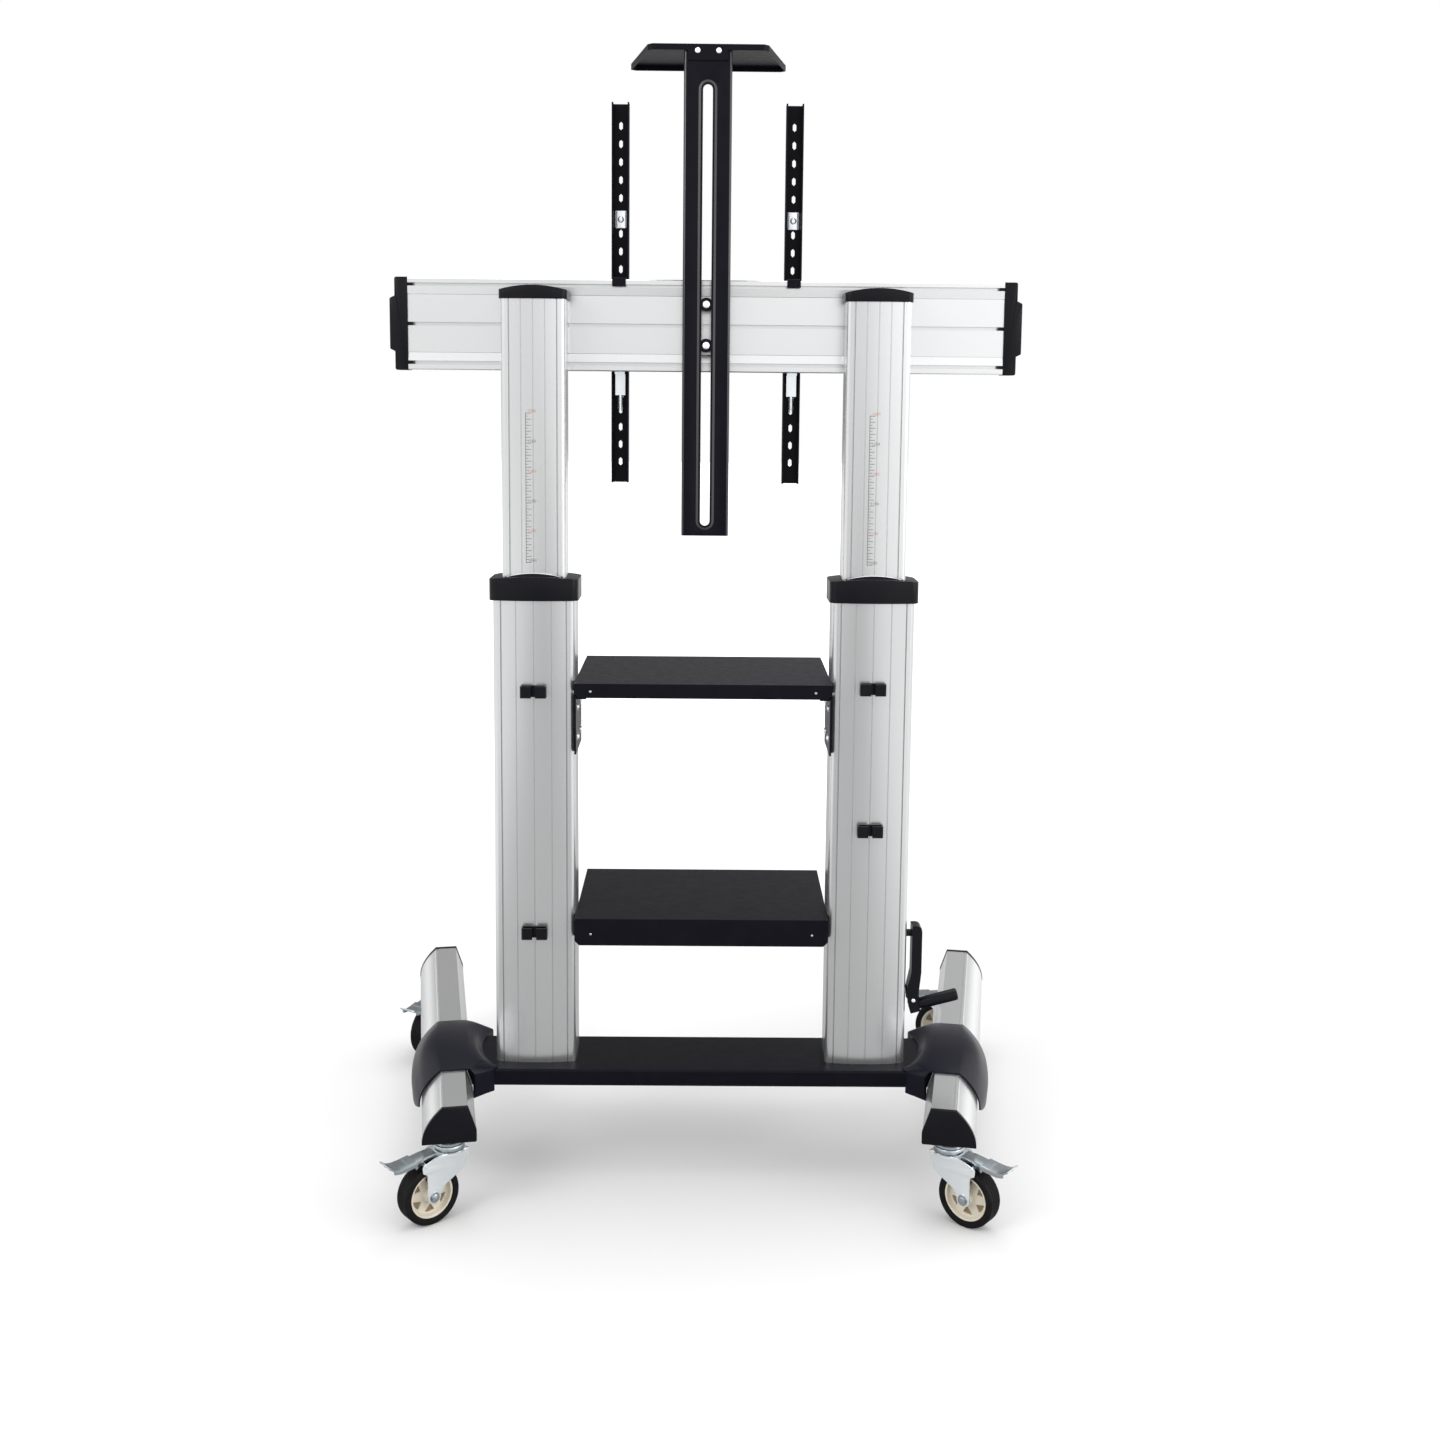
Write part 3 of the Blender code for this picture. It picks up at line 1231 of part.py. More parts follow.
def add_camera_shelf():
    """The camera shelf on the mast: a plate with a lip, and a flange down the mast's back."""
    top = BEAM_CENTRE_Z + MAST_ABOVE + SEAT_GAP + CAMERA_WALL
    rear = MAST_REAR_Y - SEAT_GAP - CAMERA_WALL
    plate = extrusion("camera_shelf", [camera_outline(0.0)], CAMERA_LIP)
    shelf = add_part("camera_shelf", plate, STEEL, (0, rear, top - CAMERA_LIP / 2))
    hollow = extrusion("camera_hollow", [camera_outline(CAMERA_WALL)], CAMERA_LIP)
    combine(
        shelf, helper(hollow, (0, rear, top - CAMERA_LIP / 2 - CAMERA_WALL)), "DIFFERENCE"
    )
    flange = block("camera_flange", (MAST_WIDTH - 0.014, CAMERA_WALL, CAMERA_FLANGE))
    at = (0, rear + CAMERA_WALL / 2, top - CAMERA_FLANGE / 2)
    combine(shelf, helper(flange, at), "UNION")


def arm_mesh():
    """A screen bracket about the beam's centre height: a channel with slots and a hook."""
    length, middle = ARM_ABOVE + ARM_BELOW, (ARM_ABOVE - ARM_BELOW) / 2
    half, wall, web = ARM_WIDTH / 2, ARM_WALL, ARM_FRONT_Y - ARM_WALL / 2
    holes = []
    count = int((length - 0.03) / ARM_HOLE_PITCH)
    start = -(count - 1) / 2 * ARM_HOLE_PITCH
    for step in range(count):
        z = start + step * ARM_HOLE_PITCH
        holes.append(
            stadium(2 * ARM_HOLE_HALF, z - ARM_HOLE_LENGTH / 2, z + ARM_HOLE_LENGTH / 2, steps=2)
        )
    plate = extrusion("arm_web", [rectangle(ARM_WIDTH, length), *holes], wall)
    arm = helper(plate, (0, web, middle), IN_XZ)
    for side in (-1, 1):
        flange = block("arm_flange", (wall, ARM_DEPTH, length))
        flange_at = (side * (half - wall / 2), (ARM_REAR_Y + ARM_FRONT_Y) / 2, middle)
        combine(arm, helper(flange, flange_at), "UNION")
    low = BEAM_HEIGHT / 2 + SEAT_GAP
    back = BEAM_REAR_Y - SEAT_GAP
    hook = [
        (web, low),
        (back, low),
        (back, low - HOOK_DROP),
        (back - wall, low - HOOK_DROP),
        (back - wall, low + wall - 0.001),
        (back - wall + 0.001, low + wall),
        (web, low + wall),
    ]
    strip = extrusion("arm_hook", [hook], HOOK_WIDTH)
    combine(arm, helper(strip, (0, 0, 0), IN_YZ), "UNION")
    return used_up(arm, "screen_bracket")


def latch_mesh():
    """A bracket's latch about the beam's centre height: body, lip under the beam, and screw."""
    front = ARM_FRONT_Y - ARM_WALL - SEAT_GAP
    top = -BEAM_HEIGHT / 2 - SEAT_GAP
    lip_end = BEAM_FRONT_Y - LATCH_LIP
    outline = [
        (front, top - LATCH_HEIGHT),
        (front, top),
        (lip_end, top),
        (lip_end, top - LATCH_LIP_HEIGHT),
        (front - LATCH_DEPTH, top - LATCH_LIP_HEIGHT),
        (front - LATCH_DEPTH, top - LATCH_HEIGHT),
    ]
    body = extrusion("latch_body", [outline], LATCH_WIDTH)
    latch = helper(body, (0, 0, 0), IN_YZ)
    screw = rod("latch_screw", LATCH_SCREW_RADIUS, LATCH_SCREW_LENGTH + 0.002, 12)
    screw_z = top - LATCH_HEIGHT - LATCH_SCREW_LENGTH / 2 + 0.001
    combine(latch, helper(screw, (0, front - LATCH_DEPTH / 2, screw_z)), "UNION")
    return used_up(latch, "bracket_latch")


def add_screen_brackets():
    """Two brackets that hang on the beam and slide along it, each with its latch."""
    arm, latch = arm_mesh(), latch_mesh()
    for side, name in ((-1, "left"), (1, "right")):
        axis = add_axis(f"screen_bracket_{name}_axis", (side * ARM_SPACING / 2, 0, BEAM_CENTRE_Z))
        add_part(f"screen_bracket_{name}", arm, STEEL, parent=axis)
        add_part(f"bracket_latch_{name}", latch, ZINC, parent=axis)


# Cable clips


def add_clips():
    """Clips on the columns' backs: a flat loop with a mouth, open above and below."""
    half, deep, wall = CLIP_WIDTH / 2, CLIP_DEPTH, CLIP_WALL
    mouth = CLIP_MOUTH / 2
    right = [
        (mouth, -deep),
        (half - 0.002, -deep),
        (half, -deep + 0.002),
        (half, 0.0),
    ]
    inner = [(half - wall, -wall), (half - wall, -deep + wall), (mouth, -deep + wall)]
    outline = right + [(-x, y) for x, y in reversed(right)]
    outline += [(-x, y) for x, y in reversed(inner)] + inner
    mesh = extrusion("cable_clip", [outline], CLIP_HEIGHT)
    for name, (side, rise) in CLIPS.items():
        at = (side * COLUMN_X, COLUMN_REAR_Y - SEAT_GAP, TRAY_TOP_Z + rise)
        add_part(name, mesh, PLASTIC, at)


def build():
    """Models the whole stand."""
    add_casters()
    for side, name in ((-1, "left"), (1, "right")):
        add_leg(side, name)
        add_cover(side, name)
        add_outer_column(side, name)
        add_inner_column(side, name)
        add_collar(side, name)
        add_column_cap(side, name)
        add_lead_screw(side, name)
    add_tray()
    add_cross_shaft()
    add_crank()
    add_shelves()
    add_beam()
    add_mast()
    add_camera_shelf()
    add_screen_brackets()
    add_clips()


build()
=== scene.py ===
"""Looks of the mobile screen stand: finishes, moulded and turned pieces, studio and camera.

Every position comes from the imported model, so each piece sits on the solid that carries it.
"""

import json
import logging
import math
from dataclasses import dataclass
from enum import Enum
from typing import Iterable, Sequence

import bmesh
import bpy
from mathutils import Matrix, Vector

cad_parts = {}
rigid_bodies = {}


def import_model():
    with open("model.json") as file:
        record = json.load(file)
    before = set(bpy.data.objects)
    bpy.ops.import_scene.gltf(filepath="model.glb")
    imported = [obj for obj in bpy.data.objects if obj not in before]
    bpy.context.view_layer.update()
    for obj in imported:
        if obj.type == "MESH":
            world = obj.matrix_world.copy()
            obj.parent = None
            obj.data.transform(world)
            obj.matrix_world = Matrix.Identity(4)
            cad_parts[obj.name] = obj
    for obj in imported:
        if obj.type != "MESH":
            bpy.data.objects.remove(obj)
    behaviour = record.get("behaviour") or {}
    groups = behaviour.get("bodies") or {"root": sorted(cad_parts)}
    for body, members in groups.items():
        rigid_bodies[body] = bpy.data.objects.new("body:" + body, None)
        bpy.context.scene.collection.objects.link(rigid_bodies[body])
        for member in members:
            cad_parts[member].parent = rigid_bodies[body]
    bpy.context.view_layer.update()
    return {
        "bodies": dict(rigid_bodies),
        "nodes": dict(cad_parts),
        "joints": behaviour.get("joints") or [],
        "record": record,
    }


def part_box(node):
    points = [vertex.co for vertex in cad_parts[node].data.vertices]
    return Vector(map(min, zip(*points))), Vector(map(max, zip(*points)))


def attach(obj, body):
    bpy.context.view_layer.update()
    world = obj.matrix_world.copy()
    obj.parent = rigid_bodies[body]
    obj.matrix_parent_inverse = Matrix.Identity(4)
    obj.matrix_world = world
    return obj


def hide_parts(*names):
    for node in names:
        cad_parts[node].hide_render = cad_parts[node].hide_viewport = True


LOG = logging.getLogger("stand")

Flat = tuple[float, float]
Place = tuple[float, float, float]
Box = tuple[Vector, Vector]
Mesh = bpy.types.Mesh
Material = bpy.types.Material
Socket = bpy.types.NodeSocket

ENDS = (-1, 1)
WELD = 1e-6
QUARTER = math.pi / 2
TO_XZ = Matrix.Rotation(QUARTER, 4, "X")
TO_YZ = Matrix.Rotation(QUARTER, 4, "Z") @ TO_XZ
FROM_XZ = Matrix.Rotation(-QUARTER, 4, "X")
TO_SERVICE_SIDE = (QUARTER, 0.0, 0.0)


class Grain(Enum):
    """The direction in which an extruded profile is drawn and brushed."""

    ALONG_X = (1.0, 260.0, 260.0)
    ALONG_Y = (260.0, 1.0, 260.0)
    ALONG_Z = (260.0, 260.0, 1.0)


class Side(Enum):
    """Left or right of the stand, as seen from the service side."""

    LEFT = -1
    RIGHT = 1

    def __str__(self) -> str:
        """The side's name in node names."""
        return self.name.lower()


# Finishes


class Nodes:
    """A node tree under construction."""

    def __init__(self, tree: bpy.types.NodeTree, prefix: str = "ShaderNode") -> None:
        """Takes the tree, and what the types of its nodes start with."""
        self.tree, self.prefix = tree, prefix

    def feed(self, socket: Socket, value: object) -> None:
        """Gives a socket its value.

        Args:
            socket: The socket.
            value: Another socket to link to it, or a plain value.
        """
        if isinstance(value, Socket):
            self.tree.links.new(value, socket)
        else:
            socket.default_value = value

    def node(self, kind: str, **values: object) -> bpy.types.Node:
        """Adds a node.

        Args:
            kind: Its type, without the prefix.
            values: Its attributes, and its inputs with a capital and underscores for spaces.

        Returns:
            The new node.
        """
        made = self.tree.nodes.new(self.prefix + kind)
        for name, value in values.items():
            if name.islower():
                setattr(made, name, value)
            else:
                self.feed(made.inputs[name.replace("_", " ")], value)
        return made

    def reckon(self, operation: str, *values: Socket | float) -> Socket:
        """One step of arithmetic.

        Args:
            operation: What is done.
            values: Sockets or numbers, in order.

        Returns:
            The result's socket.
        """
        step = self.node("Math", operation=operation)
        for socket, value in zip(step.inputs, values):
            self.feed(socket, value)
        return step.outputs[0]

    def ranged(self, value: Socket, span: Flat, levels: Flat, curve: str = "SMOOTHSTEP") -> Socket:
        """Carries a value from one range to another.

        Args:
            value: The value's socket.
            span: Where the range starts and ends.
            levels: The results at its start and its end.
            curve: How the result runs between them.

        Returns:
            The result's socket.
        """
        room = self.node("MapRange", interpolation_type=curve, Value=value)
        for name, number in zip(("From Min", "From Max", "To Min", "To Max"), (*span, *levels)):
            room.inputs[name].default_value = number
        return room.outputs["Result"]


class Shader(Nodes):
    """A material under construction: its nodes and its main shader."""

    def __init__(self, name: str) -> None:
        """Starts a material.

        Args:
            name: Its name.
        """
        self.material = bpy.data.materials.new(name)
        self.material.use_nodes = True
        super().__init__(self.material.node_tree)
        self.main = self.tree.nodes["Principled BSDF"].inputs
        self.place = self.node("TexCoord").outputs["Object"]

    def noise(self, pattern: Flat, stretch: Place = (1.0, 1.0, 1.0)) -> Socket:
        """Noise from 0 to 1 on the piece, by its cycles a metre and its octaves."""
        way = self.node("Mapping", Vector=self.place, Scale=stretch).outputs["Vector"]
        return self.node("TexNoise", Vector=way, Scale=pattern[0], Detail=pattern[1]).outputs["Fac"]


@dataclass(frozen=True)
class Finish:
    """A finish: clouds between two colours, smudges in the gloss, and a fine relief.

    A pattern is given by its cycles a metre and its octaves, the relief by its height and strength,
    and the tone is added to every channel of both colours.
    """

    name: str
    low: Place
    high: Place
    clouds: Flat
    smudges: Flat
    roughness: Flat
    grain: Flat
    relief: Flat
    tone: float = 0.0
    metallic: float = 0.0
    specular: float = 0.5
    stretch: Place = (1.0, 1.0, 1.0)
    spread: Flat = (0.3, 0.7)

    def material(self) -> Material:
        """Builds the material.

        Returns:
            The material.
        """
        shader = Shader(self.name)
        shader.main["Metallic"].default_value = self.metallic
        shader.main["Specular IOR Level"].default_value = self.specular
        ramp = shader.node("ValToRGB", Fac=shader.noise(self.clouds))
        stops = zip(ramp.color_ramp.elements, self.spread, (self.low, self.high))
        for stop, at, colour in stops:
            stop.position = at
            stop.color = (*(self.tone + channel for channel in colour), 1.0)
        shader.feed(shader.main["Base Color"], ramp.outputs["Color"])
        smudges = shader.noise(self.smudges, self.stretch)
        gloss = shader.ranged(smudges, self.spread, self.roughness, "LINEAR")
        shader.feed(shader.main["Roughness"], gloss)
        height, strength = self.relief
        grain = shader.noise(self.grain, self.stretch)
        bump = shader.node("Bump", Strength=strength, Distance=height, Height=grain)
        shader.feed(shader.main["Normal"], bump.outputs["Normal"])
        return shader.material


@dataclass(frozen=True)
class Aluminium(Finish):
    """Clear anodised aluminium, finely brushed along the extrusion."""

    low: Place = (-0.004, 0.0, 0.004)
    high: Place = (0.004, 0.010, 0.016)
    clouds: Flat = (4.0, 1.0)
    smudges: Flat = (5.0, 3.0)
    roughness: Flat = (0.235, 0.265)
    grain: Flat = (5.0, 3.0)
    relief: Flat = (0.000006, 0.06)
    metallic: float = 0.90
    specular: float = 0.4


@dataclass(frozen=True)
class PowderCoat(Finish):
    """Black powder coat on steel, satin with a fine orange peel."""

    low: Place = (0.0026, 0.0026, 0.0052)
    high: Place = (0.0036, 0.0036, 0.0068)
    clouds: Flat = (30.0, 2.0)
    smudges: Flat = (60.0, 2.0)
    roughness: Flat = (0.34, 0.40)
    grain: Flat = (1400.0, 3.0)
    relief: Flat = (0.00002, 0.2)
    specular: float = 0.08


@dataclass(frozen=True)
class MouldedPlastic(Finish):
    """Black moulded plastic with a fine spark-eroded grain."""

    low: Place = (0.0028, 0.0028, 0.0046)
    high: Place = (0.0038, 0.0038, 0.00598)
    clouds: Flat = (30.0, 2.0)
    smudges: Flat = (50.0, 2.0)
    roughness: Flat = (0.29, 0.32)
    grain: Flat = (2600.0, 1.0)
    relief: Flat = (0.00001, 0.1)
    specular: float = 0.14


@dataclass(frozen=True)
class Zinc(Finish):
    """Zinc plate with the faint clouds of its passivation."""

    low: Place = (-0.03, 0.02, 0.05)
    high: Place = (0.02, 0.05, 0.07)
    clouds: Flat = (40.0, 2.0)
    smudges: Flat = (90.0, 2.0)
    roughness: Flat = (0.14, 0.20)
    grain: Flat = (300.0, 2.0)
    relief: Flat = (0.00002, 0.15)
    tone: float = 0.85
    metallic: float = 0.72


@dataclass(frozen=True)
class Rubber(Finish):
    """Black elastic tyre rubber, a little dusty."""

    low: Place = (0.0032, 0.0032, 0.0034)
    high: Place = (0.0062, 0.0062, 0.0066)
    clouds: Flat = (70.0, 3.0)
    smudges: Flat = (200.0, 3.0)
    roughness: Flat = (0.48, 0.66)
    grain: Flat = (1800.0, 3.0)
    relief: Flat = (0.00008, 0.4)
    specular: float = 0.12


@dataclass(frozen=True)
class Nylon(Finish):
    """Moulded nylon of the wheel hubs; a browner copy is painted shade in their windows."""

    low: Place = (0.56, 0.51, 0.42)
    high: Place = (0.64, 0.59, 0.49)
    clouds: Flat = (50.0, 3.0)
    smudges: Flat = (90.0, 2.0)
    roughness: Flat = (0.38, 0.50)
    grain: Flat = (900.0, 2.0)
    relief: Flat = (0.00005, 0.25)
    specular: float = 0.45


@dataclass(frozen=True)
class Ink(Finish):
    """Printed ink of the height scale, faded in specks."""

    low: Place = (0.10, 0.095, 0.09)
    high: Place = (0.155, 0.14875, 0.1425)
    clouds: Flat = (900.0, 2.0)
    smudges: Flat = (900.0, 2.0)
    roughness: Flat = (0.55, 0.55)
    grain: Flat = (900.0, 2.0)
    relief: Flat = (0.0, 0.0)


class Palette:
    """Every finish of the stand, built once."""

    def __init__(self) -> None:
        """Builds the materials."""
        upright, dull = Grain.ALONG_Z.value, (0.16, 0.22)
        # shade: the browns of a thin disc inside each hub, painted shade seen through its windows
        shade = ((0.20, 0.145, 0.085), (0.25, 0.185, 0.115))
        blue = ((0.0028, 0.0028, 0.0075), (0.0038, 0.0038, 0.00975))
        red = ((0.33, 0.15, 0.09), (0.4425, 0.2175, 0.1425))
        outer = Aluminium("outer_column_aluminium", tone=0.54, stretch=upright)
        inner = Aluminium("inner_column_aluminium", tone=0.59, stretch=upright)
        beam = Aluminium("beam_aluminium", tone=0.66, stretch=Grain.ALONG_X.value)
        leg = Aluminium("leg_aluminium", tone=0.70, stretch=Grain.ALONG_Y.value)
        pressed = Zinc("pressed_zinc", roughness=dull, metallic=0.97, tone=0.42)
        self.outer_column, self.inner_column = outer.material(), inner.material()
        self.beam, self.leg = beam.material(), leg.material()
        self.steel = PowderCoat("black_powder_coat").material()
        # A glossier copy of the black powder coat: painted highlights on the mast's folds
        self.worn_steel = PowderCoat("burnished_powder_coat", specular=0.75).material()
        self.plastic = MouldedPlastic("black_moulded_plastic").material()
        self.cover_plastic = MouldedPlastic("blue_black_plastic", *blue).material()
        self.zinc, self.pressed = Zinc("bright_zinc").material(), pressed.material()
        self.rubber = Rubber("tyre_rubber").material()
        self.nylon = Nylon("cream_nylon").material()
        self.shaded_nylon = Nylon("shaded_nylon", *shade).material()
        self.black_ink = Ink("black_scale_ink").material()
        self.red_ink = Ink("red_scale_ink", *red).material()


# Shapes


def arc(centre: Flat, radius: float, start: float, end: float, steps: int) -> list[Flat]:
    """Points on a circle from one angle to another, in degrees, both ends among them."""
    turns = [math.radians(start + (end - start) * i / steps) for i in range(steps + 1)]
    return [(centre[0] + radius * math.cos(t), centre[1] + radius * math.sin(t)) for t in turns]


def rounded(points: Sequence[Flat], radii: Sequence[float], steps: int = 4) -> list[Flat]:
    """Rounds the corners of an outline.

    Args:
        points: The corners, in order.
        radii: The radius at each corner, or 0 to leave it sharp.
        steps: Pieces of each rounded corner.

    Returns:
        The rounded outline.
    """
    outline: list[Flat] = []
    for i, radius in enumerate(radii):
        corner = Vector(points[i])
        if radius <= 0:
            outline.append(tuple(corner))
            continue
        before = Vector(points[i - 1]) - corner
        after = Vector(points[(i + 1) % len(points)]) - corner
        reach = radius / math.tan(before.angle(after) / 2)
        reach = min(reach, 0.49 * before.length, 0.49 * after.length)
        start = corner + before.normalized() * reach
        end = corner + after.normalized() * reach
        for t in (step / steps for step in range(steps + 1)):
            point = (1 - t) ** 2 * start + 2 * t * (1 - t) * corner + t**2 * end
            outline.append(tuple(point))
    return outline


def move(x: float = 0.0, y: float = 0.0, z: float = 0.0) -> Matrix:
    """A plain move."""
    return Matrix.Translation((x, y, z))


def moved(mesh: Mesh, *moves: Matrix) -> Mesh:
    """Applies moves to a mesh.

    Args:
        mesh: The mesh.
        moves: The matrices, the first one first.

    Returns:
        The same mesh.
    """
    for matrix in moves:
        mesh.transform(matrix)
    return mesh


def painted(mesh: Mesh, *materials: Material) -> Mesh:
    """Gives a mesh its materials.

    Args:
        mesh: The mesh.
        materials: The materials, in place of those it had.

    Returns:
        The same mesh.
    """
    mesh.materials.clear()
    for material in materials:
        mesh.materials.append(material)
    return mesh


def link(name: str, data: bpy.types.ID) -> bpy.types.Object:
    """An object in the scene.

    Args:
        name: The object's name.
        data: Its mesh, curve, light or camera.

    Returns:
        The new object.
    """
    obj = bpy.data.objects.new(name, data)
    bpy.context.scene.collection.objects.link(obj)
    return obj


def evaluated(obj: bpy.types.Object) -> Mesh:
    """Turns an object with its modifiers into a plain mesh, and removes the object.

    Args:
        obj: The object.

    Returns:
        The mesh in world space, welded, with its faces outwards.
    """
    bpy.context.view_layer.update()
    graph = bpy.context.evaluated_depsgraph_get()
    mesh = bpy.data.meshes.new_from_object(obj.evaluated_get(graph))
    mesh.transform(obj.matrix_world)
    shape = bmesh.new()
    shape.from_mesh(mesh)
    bmesh.ops.remove_doubles(shape, verts=shape.verts, dist=WELD)
    bmesh.ops.recalc_face_normals(shape, faces=shape.faces)
    shape.to_mesh(mesh)
    shape.free()
    bpy.data.objects.remove(obj, do_unlink=True)
    return mesh


def plate(loops: Sequence[Sequence[Flat]], thickness: float) -> Mesh:
    """A flat outline with holes, given a thickness about its own plane.

    Args:
        loops: The outline, then its holes.
        thickness: The plate's thickness.

    Returns:
        The mesh, lying in the XY plane.
    """
    curve = bpy.data.curves.new("outline", "CURVE")
    curve.dimensions, curve.fill_mode, curve.extrude = "2D", "BOTH", thickness / 2
    for loop in loops:
        spline = curve.splines.new("POLY")
        spline.points.add(len(loop) - 1)
        spline.use_cyclic_u = True
        for point, (x, y) in zip(spline.points, loop):
            point.co = (x, y, 0.0, 1.0)
    return evaluated(link("outline", curve))


def modified(mesh: Mesh, kind: str, **settings: object) -> Mesh:
    """Changes a mesh with one modifier.

    Args:
        mesh: The mesh, which is used up.
        kind: The modifier's type.
        settings: Its attributes.

    Returns:
        The changed mesh.
    """
    obj = link("modified", mesh)
    modifier = obj.modifiers.new("change", kind)
    for name, value in settings.items():
        setattr(modifier, name, value)
    return evaluated(obj)


def turned(profile: Sequence[Flat], steps: int) -> Mesh:
    """A profile turned round the Z axis.

    Args:
        profile: Points as (radius, height), closed unless the first one is on the axis.
        steps: Pieces of a whole turn.

    Returns:
        The mesh.
    """
    mesh = bpy.data.meshes.new("profile")
    count = len(profile)
    edges = [(i, (i + 1) % count) for i in range(count if profile[0][0] else count - 1)]
    mesh.from_pydata([(r, 0.0, z) for r, z in profile], edges, [])
    weld = {"use_merge_vertices": True, "merge_threshold": WELD}
    return modified(mesh, "SCREW", steps=steps, render_steps=steps, **weld)


def softened(mesh: Mesh, width: float, segments: int = 2, angle: float = 50.0) -> Mesh:
    """Rounds the edges of a mesh that are sharper than an angle in degrees, and uses it up."""
    limit = {"limit_method": "ANGLE", "angle_limit": math.radians(angle)}
    return modified(mesh, "BEVEL", width=width, segments=segments, harden_normals=False, **limit)


class Join(Enum):
    """How one solid is combined with another."""

    CUT = "DIFFERENCE"
    ADD = "UNION"
    TRIM = "INTERSECT"


def combined(mesh: Mesh, others: Sequence[Mesh], join: Join = Join.CUT) -> Mesh:
    """Combines one mesh with others.

    Args:
        mesh: The mesh, which is used up.
        others: The other meshes, which are used up.
        join: What is done with them.

    Returns:
        The combined mesh.
    """
    obj = link("combined", mesh)
    helpers = [link("other", other) for other in others]
    for helper in helpers:
        boolean = obj.modifiers.new("join", "BOOLEAN")
        boolean.operation, boolean.object = join.value, helper
    made = evaluated(obj)
    for helper in helpers:
        bpy.data.objects.remove(helper, do_unlink=True)
    return made


def merged(meshes: Sequence[Mesh]) -> Mesh:
    """Joins meshes into one, with their materials.

    Args:
        meshes: The meshes, which are used up.

    Returns:
        The joined mesh.
    """
    whole = bmesh.new()
    materials: list[Material] = []
    for mesh in meshes:
        part = bmesh.new()
        part.from_mesh(mesh)
        if mesh.materials:
            material = mesh.materials[0]
            if material not in materials:
                materials.append(material)
            for face in part.faces:
                face.material_index = materials.index(material)
        part.to_mesh(mesh)
        part.free()
        whole.from_mesh(mesh)
        bpy.data.meshes.remove(mesh)
    joined = bpy.data.meshes.new("merged")
    whole.to_mesh(joined)
    whole.free()
    for material in materials:
        joined.materials.append(material)
    return joined


def lofted(loops: Sequence[Sequence[Place]], closed: bool = True) -> Mesh:
    """A surface through loops that all have the same number of points.

    Args:
        loops: The loops, in order.
        closed: Whether each loop's last point joins its first.

    Returns:
        The mesh.
    """
    count = len(loops[0])
    faces = []
    for row in range(0, (len(loops) - 1) * count, count):
        for i in range(count if closed else count - 1):
            j = (i + 1) % count
            faces.append((row + i, row + j, row + count + j, row + count + i))
    mesh = bpy.data.meshes.new("lofted")
    mesh.from_pydata([point for loop in loops for point in loop], [], faces)
    return mesh


def stadium(half_width: float, low: float, high: float) -> list[Flat]:
    """The outline of an upright slot with round ends."""
    upper = arc((0.0, high - half_width), half_width, 0, 180, 12)
    return upper + arc((0.0, low + half_width), half_width, 180, 360, 12)


def block(size: Place, at: Place) -> Mesh:
    """A block of this size about its middle."""
    x, y = size[0] / 2, size[1] / 2
    return moved(plate([[(-x, -y), (x, -y), (x, y), (-x, y)]], size[2]), move(*at))


def bowed(width: float, shoulder: float, rise: float) -> list[Flat]:
    """A bowed edge from right to left."""
    stops = [width / 2 - width * step / 28 for step in range(29)]
    return [(x, shoulder + rise * (1 - (2 * x / width) ** 2)) for x in stops]


def above(width: float, shoulder: float, rise: float) -> Mesh:
    """A cutter for everything above a bowed top."""
    outline = [(-width / 2, shoulder + 0.1), (width / 2, shoulder + 0.1)]
    return moved(plate([outline + bowed(width, shoulder, rise)], 0.3), TO_XZ)


def grown(box: Box, by: float) -> Box:
    """A box that is wider and deeper, with the same heights."""
    aside = Vector((by, by, 0))
    return box[0] - aside, box[1] + aside


# Fasteners


@dataclass(frozen=True)
class ButtonScrew:
    """A domed screw head with a hexagon socket, its seat at height 0."""

    radius: float
    height: float
    washer: float = 0.0

    def mesh(self) -> Mesh:
        """Builds the head, with its washer if it has one.

        Returns:
            The mesh.
        """
        radius, outer = self.radius, self.washer
        seat = 0.0008 if outer else 0.0
        dome = [(0.0, -0.001), (radius, -0.001), (radius, seat + 0.25 * self.height)]
        for turn in (QUARTER * step / 6 for step in range(1, 6)):
            rise = self.height * (0.25 + 0.75 * math.sin(turn))
            dome.append((radius * math.cos(turn), seat + rise))
        dome.append((0.0, seat + self.height))
        socket = plate([arc((0.0, 0.0), 0.5 * radius, 0, 300, 5)], self.height)
        head = combined(turned(dome, 28), [moved(socket, move(z=seat + self.height))])
        if not outer:
            return head
        inner = radius * 0.6
        ring = [(inner, -0.001), (outer, -0.001), (outer, seat - 0.0002)]
        return merged([head, turned(ring + [(outer - 0.0002, seat), (inner, seat)], 32)])


